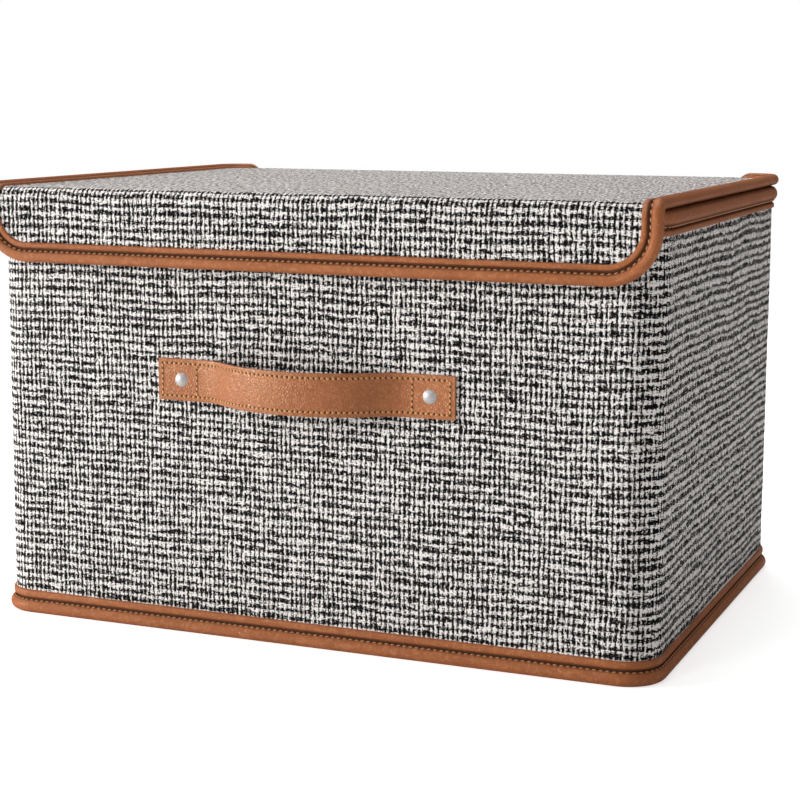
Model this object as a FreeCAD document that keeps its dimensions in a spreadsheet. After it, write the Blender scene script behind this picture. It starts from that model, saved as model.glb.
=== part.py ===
import FreeCAD, Part
import math
import os
import Sketcher
from FreeCAD import Vector

# A lidded storage box: greyboard walls between a tweed cover and a lining, leatherette piping on
# every edge, an arched strap on the front, and a lid on a cloth hinge whose front edge turns down
# as a flap. Millimetres, +Z up, front towards -Y, origin on the floor under the middle of the box.

size_values = {
    # Carcass, over its cloth
    "box_width": 400.0,
    "box_depth": 300.0,
    "corner_radius": 20.0,
    "rim_height": 250.5,
    # Layers of every panel, from outside to inside
    "fabric_thickness": 1.0,
    "board_thickness": 2.0,
    "lining_thickness": 0.8,
    # Leatherette strip that wraps the piping cords
    "leather_thickness": 0.8,
    "groove_leather": 0.5,
    "fold_height": 1.5,
    "cord_gap": 0.1,
    "seam_gap": 0.3,
    # Rim piping
    "rim_bead_radius": 5.0,
    "rim_bead_stand": 3.3,
    "rim_groove": 1.2,
    "rim_fold": 3.6,
    "rim_flange": 14.0,
    # Base piping, flattened where it stands on the floor
    "base_bead_radius": 4.0,
    "base_bead_stand": 3.6,
    "base_flat": 0.4,
    "base_groove": 1.3,
    "base_fold": 4.8,
    "base_flange": 11.0,
    # Lid and flap piping
    "lid_bead_radius": 3.4,
    "lid_bead_stand": 2.9,
    "lid_groove": 1.4,
    "lid_fold": 3.5,
    "lid_flange": 12.0,
    "lid_overhang": 1.0,
    "lid_corner_radius": 14.0,
    "lid_rest_gap": 0.2,
    "tuck_length": 4.0,
    # Cloth hinge behind the lid
    "hinge_overlap": 14.0,
    "hinge_bend": 2.6,
    # Front flap
    "flap_gap": 0.6,
    "flap_drop": 33.3,
    "flap_corner_radius": 26.0,
    "crease_radius": 6.0,
    # Strap handle
    "strap_length": 180.0,
    "strap_width": 24.0,
    "strap_height": 147.5,
    "strap_outer_thickness": 1.1,
    "strap_inner_thickness": 0.9,
    "strap_pad": 24.0,
    "strap_arch": 22.0,
    "strap_root_radius": 35.0,
    "strap_corner": 1.2,
    # Rivets and the washers behind them
    "rivet_spacing": 151.0,
    "rivet_head_radius": 4.0,
    "rivet_head_height": 1.5,
    "rivet_shank_radius": 1.5,
    "rivet_tail_radius": 2.6,
    "rivet_tail_height": 0.6,
    "rivet_clearance": 0.1,
    "washer_radius": 5.0,
    "washer_thickness": 0.6,
    # Loose base board in its cloth cover
    "insert_clearance": 2.0,
    "insert_lift": 0.2,
    "insert_corner": 14.0,
    "cover_thickness": 0.6,
    # Runs every cut past the face where it ends
    "overrun": 1.0,
}


class Size:
    """A length together with the sheet expression that gives it."""

    def __init__(self, value, text):
        self.value = value
        self.text = text

    def __add__(self, other):
        other = as_size(other)
        return Size(self.value + other.value, f"({self.text} + {other.text})")

    def __sub__(self, other):
        other = as_size(other)
        return Size(self.value - other.value, f"({self.text} - {other.text})")

    def __mul__(self, other):
        other = as_size(other)
        return Size(self.value * other.value, f"({self.text} * {other.text})")

    def __truediv__(self, other):
        other = as_size(other)
        return Size(self.value / other.value, f"({self.text} / {other.text})")

    def __neg__(self):
        return Size(-self.value, f"(-{self.text})")


def as_size(item):
    if isinstance(item, Size):
        return item
    return Size(float(item), repr(item))


def root(size):
    return Size(math.sqrt(size.value), f"sqrt({size.text})")


def leg(long_side, short_side):
    """The other short side of a right triangle."""
    return root(long_side * long_side - short_side * short_side)


class Bend:
    """An arc between the points before and after it: the short way, or past the side of towards."""

    def __init__(self, centre, towards=None):
        self.centre = centre
        self.towards = towards


document = FreeCAD.newDocument("storage_box")
sheet = document.addObject("Spreadsheet::Sheet", "Sizes")
for row, (name, value) in enumerate(size_values.items(), start=1):
    sheet.set(f"A{row}", name)
    sheet.set(f"B{row}", str(value))
    sheet.setAlias(f"B{row}", name)
document.recompute()


class Named:
    """The sheet's sizes, read as attributes."""

    def __getattr__(self, name):
        return Size(size_values[name], f"Sizes.{name}")


s = Named()
zero = Size(0.0, "0")

# Levels and widths that several pieces share
half_width = s.box_width / 2
half_depth = s.box_depth / 2
wall_stack = s.fabric_thickness + s.board_thickness + s.lining_thickness

rim_z = s.rim_height - s.rim_bead_radius
rim_shift = s.rim_bead_stand - s.rim_bead_radius
rim_x = half_width + rim_shift
rim_y = half_depth + rim_shift
rim_corner = s.corner_radius + rim_shift
rim_tuck_x = rim_x - rim_corner - s.tuck_length
wall_top = rim_z - s.rim_bead_radius + s.leather_thickness

base_z = s.base_bead_radius - s.base_flat
base_shift = s.base_bead_stand - s.base_bead_radius
base_x = half_width + base_shift
base_y = half_depth + base_shift
base_corner = s.corner_radius + base_shift
wall_bottom = base_z + s.base_bead_radius - s.leather_thickness
base_board_z = base_z + s.fabric_thickness
floor_z = base_board_z + s.board_thickness + s.lining_thickness

lid_z = s.rim_height + s.lid_rest_gap + s.lid_bead_radius
lid_shift = s.lid_bead_stand - s.lid_bead_radius
lid_top = lid_z - lid_shift
lid_x = rim_x + s.lid_overhang
hinge_y = half_depth + s.fabric_thickness / 2
lid_tuck_x = lid_x - s.lid_corner_radius - s.tuck_length
lid_edge = s.lid_bead_radius - s.leather_thickness
lid_board_z = lid_top - s.fabric_thickness - s.board_thickness
lid_under = lid_board_z - s.lining_thickness

panel_stack = s.fabric_thickness + s.board_thickness + s.leather_thickness
flap_face_y = half_depth + s.rim_bead_stand + s.flap_gap + panel_stack
flap_y = flap_face_y + lid_shift
crease_y = flap_y - s.crease_radius
crease_z = lid_z - s.crease_radius
flap_z = crease_z - s.flap_drop

strap_outer = s.strap_inner_thickness + s.strap_outer_thickness
strap_root_x = s.strap_length / 2 - s.strap_pad
rivet_bore = s.rivet_shank_radius + s.rivet_clearance

sides = {"left": -1, "right": 1}
node_bodies = {}


def new_body(name):
    body = document.addObject("PartDesign::Body", name)
    body.Label = name
    node_bodies[name] = body
    return body


def new_sketch(body, name, plane_role, offset=zero):
    """A sketch on one of the body's own origin planes, moved along that plane's normal."""
    sketch = body.newObject("Sketcher::SketchObject", f"{body.Name}_{name}")
    plane = next(item for item in body.Origin.OriginFeatures if item.Role == plane_role)
    sketch.AttachmentSupport = [(plane, "")]
    sketch.MapMode = "FlatFace"
    sketch.setExpression("AttachmentOffset.Base.z", offset.text)
    return sketch


def hold(sketch, kind, geometry, vertex, size):
    """Hold one coordinate of a vertex at a size measured from the sketch's origin."""
    index = sketch.addConstraint(Sketcher.Constraint(kind, -1, 1, geometry, vertex, size.value))
    if size.text != "0":
        sketch.setExpression(f"Constraints[{index}]", size.text)


def hold_point(sketch, geometry, vertex, point):
    hold(sketch, "DistanceX", geometry, vertex, point[0])
    hold(sketch, "DistanceY", geometry, vertex, point[1])


def vector(point):
    return Vector(point[0].value, point[1].value, 0)


def turn_between(first, second):
    """The anticlockwise turn from one direction to another, in radians."""
    return (math.atan2(second.y, second.x) - math.atan2(first.y, first.x)) % math.tau


def add_arc(sketch, start, bend, end):
    """Add the arc and say which of its ends lies at the start point."""
    centre = vector(bend.centre)
    first = vector(start) - centre
    last = vector(end) - centre
    towards = Vector(bend.towards[0], bend.towards[1], 0) if bend.towards else first + last
    anticlockwise = turn_between(first, towards) < turn_between(first, last)
    if not anticlockwise:
        first, last = last, first
    angle = math.atan2(first.y, first.x)
    circle = Part.Circle(centre, Vector(0, 0, 1), first.Length)
    arc = Part.ArcOfCircle(circle, angle, angle + turn_between(first, last))
    return sketch.addGeometry(arc, False), (1, 2) if anticlockwise else (2, 1)


def draw(sketch, items, closed=True):
    """Draw lines and arcs through the items' points, each point held at its sizes."""
    points = [item for item in items if not isinstance(item, Bend)]
    bends = {}
    count = 0
    for item in items:
        if isinstance(item, Bend):
            bends[count - 1] = item
        else:
            count += 1
    edge_count = len(points) if closed else len(points) - 1
    edges = []
    for number in range(edge_count):
        start = points[number]
        end = points[(number + 1) % len(points)]
        if number in bends:
            index, ends = add_arc(sketch, start, bends[number], end)
        else:
            index = sketch.addGeometry(Part.LineSegment(vector(start), vector(end)), False)
            ends = (1, 2)
        edges.append((index, ends))
    joints = edge_count if closed else edge_count - 1
    for number in range(joints):
        first, first_ends = edges[number]
        second, second_ends = edges[(number + 1) % len(edges)]
        sketch.addConstraint(
            Sketcher.Constraint("Coincident", first, first_ends[1], second, second_ends[0])
        )
    for number, (index, ends) in enumerate(edges):
        hold_point(sketch, index, ends[0], points[number])
    if not closed:
        index, ends = edges[-1]
        hold_point(sketch, index, ends[1], points[-1])
    for number, bend in bends.items():
        start = vector(points[number])
        end = vector(points[(number + 1) % len(points)])
        chord = end - start
        if abs(chord.y) > abs(chord.x):
            hold(sketch, "DistanceX", edges[number][0], 3, bend.centre[0])
        else:
            hold(sketch, "DistanceY", edges[number][0], 3, bend.centre[1])


def draw_circle(sketch, centre, radius):
    circle = Part.Circle(vector(centre), Vector(0, 0, 1), radius.value)
    index = sketch.addGeometry(circle, False)
    hold_point(sketch, index, 3, centre)
    radius_index = sketch.addConstraint(Sketcher.Constraint("Radius", index, radius.value))
    sketch.setExpression(f"Constraints[{radius_index}]", radius.text)


def rectangle(left, right, low, high):
    return [(left, low), (right, low), (right, high), (left, high)]


def rounded_rectangle(half_x, half_y, radius):
    """A rectangle about the origin with four round corners."""
    flat_x = half_x - radius
    flat_y = half_y - radius
    return [
        (-flat_x, -half_y),
        (flat_x, -half_y),
        Bend((flat_x, -flat_y)),
        (half_x, -flat_y),
        (half_x, flat_y),
        Bend((flat_x, flat_y)),
        (flat_x, half_y),
        (-flat_x, half_y),
        Bend((-flat_x, flat_y)),
        (-half_x, flat_y),
        (-half_x, -flat_y),
        Bend((-flat_x, -flat_y)),
    ]


def rear_rounded(half_x, front_y, rear_y, radius):
    """A panel outline with square front corners and round rear corners."""
    flat_x = half_x - radius
    flat_y = rear_y - radius
    return [
        (-half_x, front_y),
        (half_x, front_y),
        (half_x, flat_y),
        Bend((flat_x, flat_y)),
        (flat_x, rear_y),
        (-flat_x, rear_y),
        Bend((-flat_x, flat_y)),
        (-half_x, flat_y),
    ]


def foot_rounded(half_x, low_z, high_z, radius):
    """A panel outline with square upper corners and round lower corners."""
    flat_x = half_x - radius
    flat_z = low_z + radius
    return [
        (-flat_x, low_z),
        (flat_x, low_z),
        Bend((flat_x, flat_z)),
        (half_x, flat_z),
        (half_x, high_z),
        (-half_x, high_z),
        (-half_x, flat_z),
        Bend((-flat_x, flat_z)),
    ]


def pad(body, name, plane_role, offset, length, outlines, midplane=False):
    sketch = new_sketch(body, f"{name}_outline", plane_role, offset)
    for outline in outlines:
        draw(sketch, outline)
    feature = body.newObject("PartDesign::Pad", f"{body.Name}_{name}")
    feature.Profile = sketch
    feature.Midplane = midplane
    feature.setExpression("Length", length.text)
    return feature


def bore_from_front(body, centres, radius, start_y, depth):
    """Round holes along +Y, from start_y in front of the box's middle."""
    sketch = new_sketch(body, "bore_circles", "XZ_Plane", start_y)
    for centre in centres:
        draw_circle(sketch, centre, radius)
    document.recompute()
    solid_before = body.Shape.Volume
    feature = body.newObject("PartDesign::Pocket", f"{body.Name}_bore")
    feature.Profile = sketch
    feature.setExpression("Length", depth.text)
    document.recompute()
    if body.Shape.Volume >= solid_before:
        raise RuntimeError(f"{body.Name}: the bore cut nothing")


def sweep(body, name, section_sketch, path_sketch):
    feature = body.newObject("PartDesign::AdditivePipe", f"{body.Name}_{name}")
    feature.Profile = (section_sketch, [""])
    feature.Spine = (path_sketch, [""])
    return feature


def mirror_across_middle(body, feature):
    """Add the left half of a piece whose right half is modelled."""
    plane = next(item for item in body.Origin.OriginFeatures if item.Role == "YZ_Plane")
    mirror = body.newObject("PartDesign::Mirrored", f"{body.Name}_mirror")
    mirror.Originals = [feature]
    mirror.MirrorPlane = (plane, [""])
    body.Tip = mirror


# Walls and floor

rivet_centres = [(-s.rivet_spacing / 2, s.strap_height), (s.rivet_spacing / 2, s.strap_height)]
bore_start = half_depth + strap_outer + s.overrun
bore_depth = bore_start - half_depth + wall_stack + s.overrun
wall_height = wall_top - wall_bottom
tab_half = rim_tuck_x - s.seam_gap
tab_height = s.rim_height - wall_top


def make_wall_boards():
    outer = s.fabric_thickness
    inner = s.fabric_thickness + s.board_thickness
    flat_x = half_width - s.corner_radius
    flat_y = half_depth - s.corner_radius
    front = rectangle(-flat_x, flat_x, -(half_depth - outer), -(half_depth - inner))
    back = rectangle(-flat_x, flat_x, half_depth - inner, half_depth - outer)
    left = rectangle(-(half_width - outer), -(half_width - inner), -flat_y, flat_y)
    right = rectangle(half_width - inner, half_width - outer, -flat_y, flat_y)
    outlines = {"front_board": front, "back_board": back, "left_board": left, "right_board": right}
    for name, outline in outlines.items():
        body = new_body(name)
        pad(body, "wall", "XY_Plane", wall_bottom, wall_height, [outline])
    bore_from_front(node_bodies["front_board"], rivet_centres, rivet_bore, bore_start, bore_depth)
    tab = rectangle(-tab_half, tab_half, half_depth - inner, half_depth - outer)
    pad(node_bodies["back_board"], "hinge_tab", "XY_Plane", wall_top, tab_height, [tab])


def make_wall_sleeve(name, outer_inset, thickness, top_z):
    """A cloth sleeve round the four walls, with a tab that rises behind the lid's hinge."""
    body = new_body(name)
    inner_inset = outer_inset + thickness
    rings = [
        rounded_rectangle(half_width - inset, half_depth - inset, s.corner_radius - inset)
        for inset in (outer_inset, inner_inset)
    ]
    pad(body, "sleeve", "XY_Plane", wall_bottom, top_z - wall_bottom, rings)
    bore_from_front(body, rivet_centres, rivet_bore, bore_start, bore_depth)
    tab = rectangle(-tab_half, tab_half, half_depth - inner_inset, half_depth - outer_inset)
    pad(body, "hinge_tab", "XY_Plane", top_z, s.rim_height - top_z, [tab])


def make_floor():
    inset = wall_stack
    radius = s.corner_radius - inset
    half_x = half_width - inset
    half_y = half_depth - inset
    outline = rounded_rectangle(half_x, half_y, radius)
    board = new_body("bottom_board")
    pad(board, "panel", "XY_Plane", base_board_z, s.board_thickness, [outline])
    lining = new_body("floor_lining")
    lining_z = base_board_z + s.board_thickness
    pad(lining, "sheet", "XY_Plane", lining_z, s.lining_thickness, [outline])
    cloth = new_body("base_fabric")
    cloth_x = base_x - s.base_flange
    cloth_y = base_y - s.base_flange
    cloth_outline = rounded_rectangle(cloth_x, cloth_y, base_corner - s.base_flange)
    pad(cloth, "sheet", "XY_Plane", base_z, s.fabric_thickness, [cloth_outline])


# Piping

def edge_section(radius, shift, groove, fold, flange, place):
    """The leatherette strip's section on a panel edge.

    Out counts from the panel's cloth face, along from the middle of the bead away from the panel.
    place turns an (out, along) pair into the sketch's own coordinates.
    """
    inner_radius = radius - s.leather_thickness
    flange_face = s.fabric_thickness + s.board_thickness + s.leather_thickness
    board_face = s.fabric_thickness + s.board_thickness
    bead_foot = leg(radius, s.groove_leather - shift)
    fold_end = bead_foot + groove
    fold_start = fold_end + fold
    fold_drop = s.fold_height - s.groove_leather
    flange_foot = leg(radius, flange_face + shift)
    inner_flange_foot = leg(inner_radius, board_face + shift)
    inner_face_foot = leg(inner_radius, shift)
    out_side = place_direction(place, (1, 0))
    along_side = place_direction(place, (0, 1))
    return [
        place(zero, -fold_start),
        Bend(place(zero, -fold_start + s.fold_height)),
        place(s.fold_height, -fold_start + s.fold_height),
        place(s.fold_height, -fold_end - fold_drop),
        Bend(place(s.groove_leather, -fold_end - fold_drop)),
        place(s.groove_leather, -fold_end),
        place(s.groove_leather, -bead_foot),
        Bend(place(shift, zero), along_side),
        place(-flange_face, -flange_foot),
        place(-flange_face, -flange),
        place(-board_face, -flange),
        place(-board_face, -inner_flange_foot),
        Bend(place(shift, zero), out_side),
        place(zero, -inner_face_foot),
    ]


def place_direction(place, direction):
    """The direction of an (out, along) step in the sketch's own coordinates."""
    start = place(zero, zero)
    end = place(as_size(direction[0]), as_size(direction[1]))
    return (end[0].value - start[0].value, end[1].value - start[1].value)


def base_section(place):
    """The section at the foot: a fold up the wall, a bead on the floor and a flange under the board."""
    radius = s.base_bead_radius
    inner_radius = radius - s.leather_thickness
    shift = base_shift
    bead_foot = leg(radius, s.groove_leather - shift)
    fold_end = bead_foot + s.base_groove
    fold_start = fold_end + s.base_fold
    fold_drop = s.fold_height - s.groove_leather
    floor_reach = leg(radius, base_z)
    flange_top = s.fabric_thickness
    flange_bottom = s.fabric_thickness - s.leather_thickness
    outer_flange_reach = leg(radius, flange_bottom)
    inner_flange_reach = leg(inner_radius, flange_top)
    inner_face_foot = leg(inner_radius, shift)
    return [
        place(zero, -fold_start),
        Bend(place(zero, -fold_start + s.fold_height)),
        place(s.fold_height, -fold_start + s.fold_height),
        place(s.fold_height, -fold_end - fold_drop),
        Bend(place(s.groove_leather, -fold_end - fold_drop)),
        place(s.groove_leather, -fold_end),
        place(s.groove_leather, -bead_foot),
        Bend(place(shift, zero)),
        place(shift + floor_reach, base_z),
        place(shift - floor_reach, base_z),
        Bend(place(shift, zero)),
        place(shift - outer_flange_reach, -flange_bottom),
        place(shift - s.base_flange, -flange_bottom),
        place(shift - s.base_flange, -flange_top),
        place(shift - inner_flange_reach, -flange_top),
        Bend(place(shift, zero), place_direction(place, (1, 1))),
        place(zero, -inner_face_foot),
    ]


def half_ring_path(reach_x, reach_y, radius, end_x):
    """From the middle of the front round the right side to end_x on the back."""
    flat_x = reach_x - radius
    flat_y = reach_y - radius
    return [
        (zero, -reach_y),
        (flat_x, -reach_y),
        Bend((flat_x, -flat_y)),
        (reach_x, -flat_y),
        (reach_x, flat_y),
        Bend((flat_x, flat_y)),
        (flat_x, reach_y),
        (end_x, reach_y),
    ]


def make_ring_piping(name, section, cord_radius, level, reach, corner, end_x):
    """A strip and its cord round the box, each swept over the right half and mirrored."""
    path_items = half_ring_path(reach[0], reach[1], corner, end_x)
    for piece, outline in ((f"{name}_binding", section), (f"{name}_cord", None)):
        body = new_body(piece)
        path = new_sketch(body, "path", "XY_Plane", level)
        draw(path, path_items, closed=False)
        profile = new_sketch(body, "section", "YZ_Plane")
        if outline:
            draw(profile, outline)
        else:
            draw_circle(profile, (-reach[1], level), cord_radius)
        mirror_across_middle(body, sweep(body, "half", profile, path))


def cord_radius_of(bead_radius):
    return bead_radius - s.leather_thickness - s.cord_gap


def make_rim_piping():
    def place(out, along):
        return (-(half_depth + out), rim_z + along)

    section = edge_section(s.rim_bead_radius, rim_shift, s.rim_groove, s.rim_fold, s.rim_flange, place)
    cord = cord_radius_of(s.rim_bead_radius)
    make_ring_piping("rim", section, cord, rim_z, (rim_x, rim_y), rim_corner, rim_tuck_x)


def make_base_piping():
    def place(out, along):
        return (-(half_depth + out), base_z - along)

    cord = cord_radius_of(s.base_bead_radius)
    make_ring_piping("base", base_section(place), cord, base_z, (base_x, base_y), base_corner, zero)


def lid_section(place):
    return edge_section(s.lid_bead_radius, lid_shift, s.lid_groove, s.lid_fold, s.lid_flange, place)


def lid_side_section(side):
    def place(out, along):
        return ((lid_x + along) * side, lid_top + out)

    return lid_section(place)


def make_lid_piping():
    """Piping along each side of the lid, round the rear corner and into the hinge seam."""
    cord = cord_radius_of(s.lid_bead_radius)
    for side_name, side in sides.items():
        flat_x = lid_x - s.lid_corner_radius
        flat_y = hinge_y - s.lid_corner_radius
        path_items = [
            (lid_x * side, -crease_y),
            (lid_x * side, flat_y),
            Bend((flat_x * side, flat_y)),
            (flat_x * side, hinge_y),
            (lid_tuck_x * side, hinge_y),
        ]
        for piece in ("binding", "cord"):
            body = new_body(f"lid_{piece}_{side_name}")
            path = new_sketch(body, "path", "XY_Plane", lid_z)
            draw(path, path_items, closed=False)
            profile = new_sketch(body, "section", "XZ_Plane", crease_y)
            if piece == "binding":
                draw(profile, lid_side_section(side))
            else:
                draw_circle(profile, (lid_x * side, lid_z), cord)
            sweep(body, "side", profile, path)


def make_crease_piping():
    """The quarter turn of piping between the lid's side and the flap's side."""
    cord = cord_radius_of(s.lid_bead_radius)
    for side_name, side in sides.items():
        path_items = [
            (-crease_y, lid_z),
            Bend((-crease_y, crease_z)),
            (-flap_y, crease_z),
        ]
        for piece in ("binding", "cord"):
            body = new_body(f"crease_{piece}_{side_name}")
            path = new_sketch(body, "path", "YZ_Plane", lid_x * side)
            draw(path, path_items, closed=False)
            profile = new_sketch(body, "section", "XZ_Plane", crease_y)
            if piece == "binding":
                draw(profile, lid_side_section(side))
            else:
                draw_circle(profile, (lid_x * side, lid_z), cord)
            sweep(body, "turn", profile, path)


def make_flap_piping():
    """Piping down one side of the flap, along its lower edge and up the other side."""
    def place(out, along):
        return (-(flap_face_y + out), flap_z - along)

    flat_x = lid_x - s.flap_corner_radius
    flat_z = flap_z + s.flap_corner_radius
    path_items = [
        (zero, flap_z),
        (flat_x, flap_z),
        Bend((flat_x, flat_z)),
        (lid_x, flat_z),
        (lid_x, crease_z - s.seam_gap),
    ]
    cord = cord_radius_of(s.lid_bead_radius)
    for piece in ("binding", "cord"):
        body = new_body(f"flap_{piece}")
        path = new_sketch(body, "path", "XZ_Plane", flap_y)
        draw(path, path_items, closed=False)
        profile = new_sketch(body, "section", "YZ_Plane")
        if piece == "binding":
            draw(profile, lid_section(place))
        else:
            draw_circle(profile, (-flap_y, flap_z), cord)
        mirror_across_middle(body, sweep(body, "half", profile, path))


# Lid and flap panels

def make_lid_panels():
    edge_x = lid_x - lid_edge
    edge_y = hinge_y - lid_edge
    edge_radius = s.lid_corner_radius - lid_edge
    outline = rear_rounded(edge_x, -crease_y, edge_y, edge_radius)
    cloth = new_body("lid_fabric")
    pad(cloth, "sheet", "XY_Plane", lid_top - s.fabric_thickness, s.fabric_thickness, [outline])
    board = new_body("lid_board")
    pad(board, "panel", "XY_Plane", lid_board_z, s.board_thickness, [outline])
    lining = new_body("lid_lining")
    lining_x = lid_x - s.lid_flange
    lining_y = hinge_y - s.lid_flange
    lining_outline = rear_rounded(
        lining_x, -crease_y, lining_y, s.lid_corner_radius - s.lid_flange
    )
    pad(lining, "sheet", "XY_Plane", lid_under, s.lining_thickness, [lining_outline])
    tab_x = lid_tuck_x - s.seam_gap
    tab = rectangle(-tab_x, tab_x, lining_y, edge_y)
    pad(lining, "hinge_tab", "XY_Plane", lid_under, s.lining_thickness, [tab])


def make_flap_panels():
    top_z = crease_z - s.seam_gap
    edge_x = lid_x - lid_edge
    low_z = flap_z + lid_edge
    outline = foot_rounded(edge_x, low_z, top_z, s.flap_corner_radius - lid_edge)
    cloth_y = flap_face_y - s.fabric_thickness
    board_y = cloth_y - s.board_thickness
    cloth = new_body("flap_fabric")
    pad(cloth, "sheet", "XZ_Plane", cloth_y, s.fabric_thickness, [outline])
    board = new_body("flap_board")
    pad(board, "panel", "XZ_Plane", board_y, s.board_thickness, [outline])
    lining = new_body("flap_lining")
    lining_outline = foot_rounded(
        lid_x - s.lid_flange,
        flap_z + s.lid_flange,
        top_z,
        s.flap_corner_radius - s.lid_flange,
    )
    pad(lining, "sheet", "XZ_Plane", board_y - s.lining_thickness, s.lining_thickness, [lining_outline])


def quarter_strip(outer_radius, inner_radius):
    """The fold's section: a quarter ring about the crease axis, towards the front and the top."""
    centre = (-crease_y, crease_z)
    return [
        (-crease_y, crease_z + inner_radius),
        (-crease_y, crease_z + outer_radius),
        Bend(centre),
        (-crease_y - outer_radius, crease_z),
        (-crease_y - inner_radius, crease_z),
        Bend(centre),
    ]


def make_crease_sheets():
    face_radius = s.crease_radius - lid_shift
    cloth = new_body("crease_fabric")
    cloth_width = (lid_x - lid_edge) * 2
    cloth_outline = quarter_strip(face_radius, face_radius - s.fabric_thickness)
    pad(cloth, "fold", "YZ_Plane", zero, cloth_width, [cloth_outline], midplane=True)
    lining = new_body("crease_lining")
    lining_face = face_radius - s.fabric_thickness - s.board_thickness
    lining_outline = quarter_strip(lining_face, lining_face - s.lining_thickness)
    lining_width = (lid_x - s.lid_flange) * 2
    pad(lining, "fold", "YZ_Plane", zero, lining_width, [lining_outline], midplane=True)


def hinge_outline(low_z):
    """The strip's section: up the back of the wall from low_z, then forward on to the lid."""
    outer_y = half_depth + s.fabric_thickness
    lid_edge_y = hinge_y - lid_edge
    bend_y = outer_y - s.hinge_bend
    bend_z = lid_top - s.hinge_bend
    inner_z = lid_top - s.fabric_thickness
    return [
        (half_depth, low_z),
        (outer_y, low_z),
        (outer_y, bend_z),
        Bend((bend_y, bend_z)),
        (bend_y, lid_top),
        (lid_edge_y, lid_top),
        (lid_edge_y, inner_z),
        (bend_y, inner_z),
        Bend((bend_y, bend_z)),
        (half_depth, bend_z),
    ]


def make_hinge_strip():
    """Cloth sewn to the outside of the back wall, bent forward over its top and sewn to the lid.

    It fits between the ends of the rim's piping, and above that between those of the lid's.
    """
    body = new_body("hinge_strip")
    shoulder_width = (lid_tuck_x - s.seam_gap) * 2
    pad(
        body, "strip", "YZ_Plane", zero, tab_half * 2,
        [hinge_outline(wall_top - s.hinge_overlap)], midplane=True,
    )
    pad(body, "shoulder", "YZ_Plane", zero, shoulder_width, [hinge_outline(lid_under)], midplane=True)


# Strap handle

def strap_curve(offset, forward):
    """One face of the strap in plan: flat pads and an arch of three tangent arcs.

    offset counts outwards from the wall. forward runs from left to right.
    """
    arc_sum = (strap_root_x * strap_root_x + s.strap_arch * s.strap_arch) / (s.strap_arch * 2)
    root_centre_y = -(half_depth + s.strap_root_radius)
    crown_radius = arc_sum - s.strap_root_radius
    crown_centre_y = -(half_depth + s.strap_arch - crown_radius)
    share = (s.strap_root_radius - offset) / arc_sum
    meet_x = strap_root_x - strap_root_x * share
    meet_y = root_centre_y + (crown_centre_y - root_centre_y) * share
    face_y = -(half_depth + offset)
    half_length = s.strap_length / 2
    items = [
        (-half_length, face_y),
        (-strap_root_x, face_y),
        Bend((-strap_root_x, root_centre_y)),
        (-meet_x, meet_y),
        Bend((zero, crown_centre_y)),
        (meet_x, meet_y),
        Bend((strap_root_x, root_centre_y)),
        (strap_root_x, face_y),
        (half_length, face_y),
    ]
    return items if forward else items[::-1]


def round_strap_corners(body):
    """Round the strap's four corners, at the edges that run through its thickness."""
    document.recompute()
    band = body.Tip
    tiny = s.strap_corner.value / 10
    end_x = s.strap_length.value / 2
    names = []
    for number, edge in enumerate(band.Shape.Edges, start=1):
        box = edge.BoundBox
        if abs(abs(box.Center.x) - end_x) < tiny and box.ZLength < tiny:
            names.append(f"Edge{number}")
    fillet = body.newObject("PartDesign::Fillet", f"{body.Name}_corners")
    fillet.Base = (band, names)
    fillet.setExpression("Radius", s.strap_corner.text)


def make_strap():
    layers = {
        "strap_lining": (zero, s.strap_inner_thickness),
        "handle_strap": (s.strap_inner_thickness, strap_outer),
    }
    low_z = s.strap_height - s.strap_width / 2
    for name, (inner_offset, outer_offset) in layers.items():
        body = new_body(name)
        outline = strap_curve(inner_offset, True) + strap_curve(outer_offset, False)
        pad(body, "band", "XY_Plane", low_z, s.strap_width, [outline])
        bore_from_front(body, rivet_centres, rivet_bore, bore_start, bore_depth)
        round_strap_corners(body)


def make_rivets():
    """A domed head on the strap, a shank through strap and wall, and a tail spread over a washer."""
    inner_y = -(half_depth - wall_stack)
    head_y = -(half_depth + strap_outer)
    dome_depth = s.rivet_head_height
    head_radius = s.rivet_head_radius
    dome_radius = (head_radius * head_radius + dome_depth * dome_depth) / (dome_depth * 2)
    washer_y = inner_y + s.washer_thickness
    tail_y = washer_y + s.rivet_tail_height
    for side_name, side in sides.items():
        rivet = new_body(f"rivet_{side_name}")
        sketch = new_sketch(rivet, "section", "XY_Plane")
        draw(
            sketch,
            [
                (zero, head_y - dome_depth),
                Bend((zero, head_y - dome_depth + dome_radius)),
                (head_radius, head_y),
                (s.rivet_shank_radius, head_y),
                (s.rivet_shank_radius, washer_y),
                (s.rivet_tail_radius, washer_y),
                (s.rivet_tail_radius, tail_y),
                (zero, tail_y),
            ],
        )
        turned = rivet.newObject("PartDesign::Revolution", f"{rivet.Name}_turned")
        turned.Profile = sketch
        turned.ReferenceAxis = (sketch, ["V_Axis"])
        turned.Angle = 360
        washer = new_body(f"rivet_washer_{side_name}")
        ring = new_sketch(washer, "ring", "XZ_Plane", -washer_y)
        draw_circle(ring, (zero, zero), s.washer_radius)
        draw_circle(ring, (zero, zero), rivet_bore)
        disc = washer.newObject("PartDesign::Pad", f"{washer.Name}_disc")
        disc.Profile = ring
        disc.setExpression("Length", s.washer_thickness.text)
        for body in (rivet, washer):
            body.setExpression("Placement.Base.x", (s.rivet_spacing / 2 * side).text)
            body.setExpression("Placement.Base.z", s.strap_height.text)


# Loose base board

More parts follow.
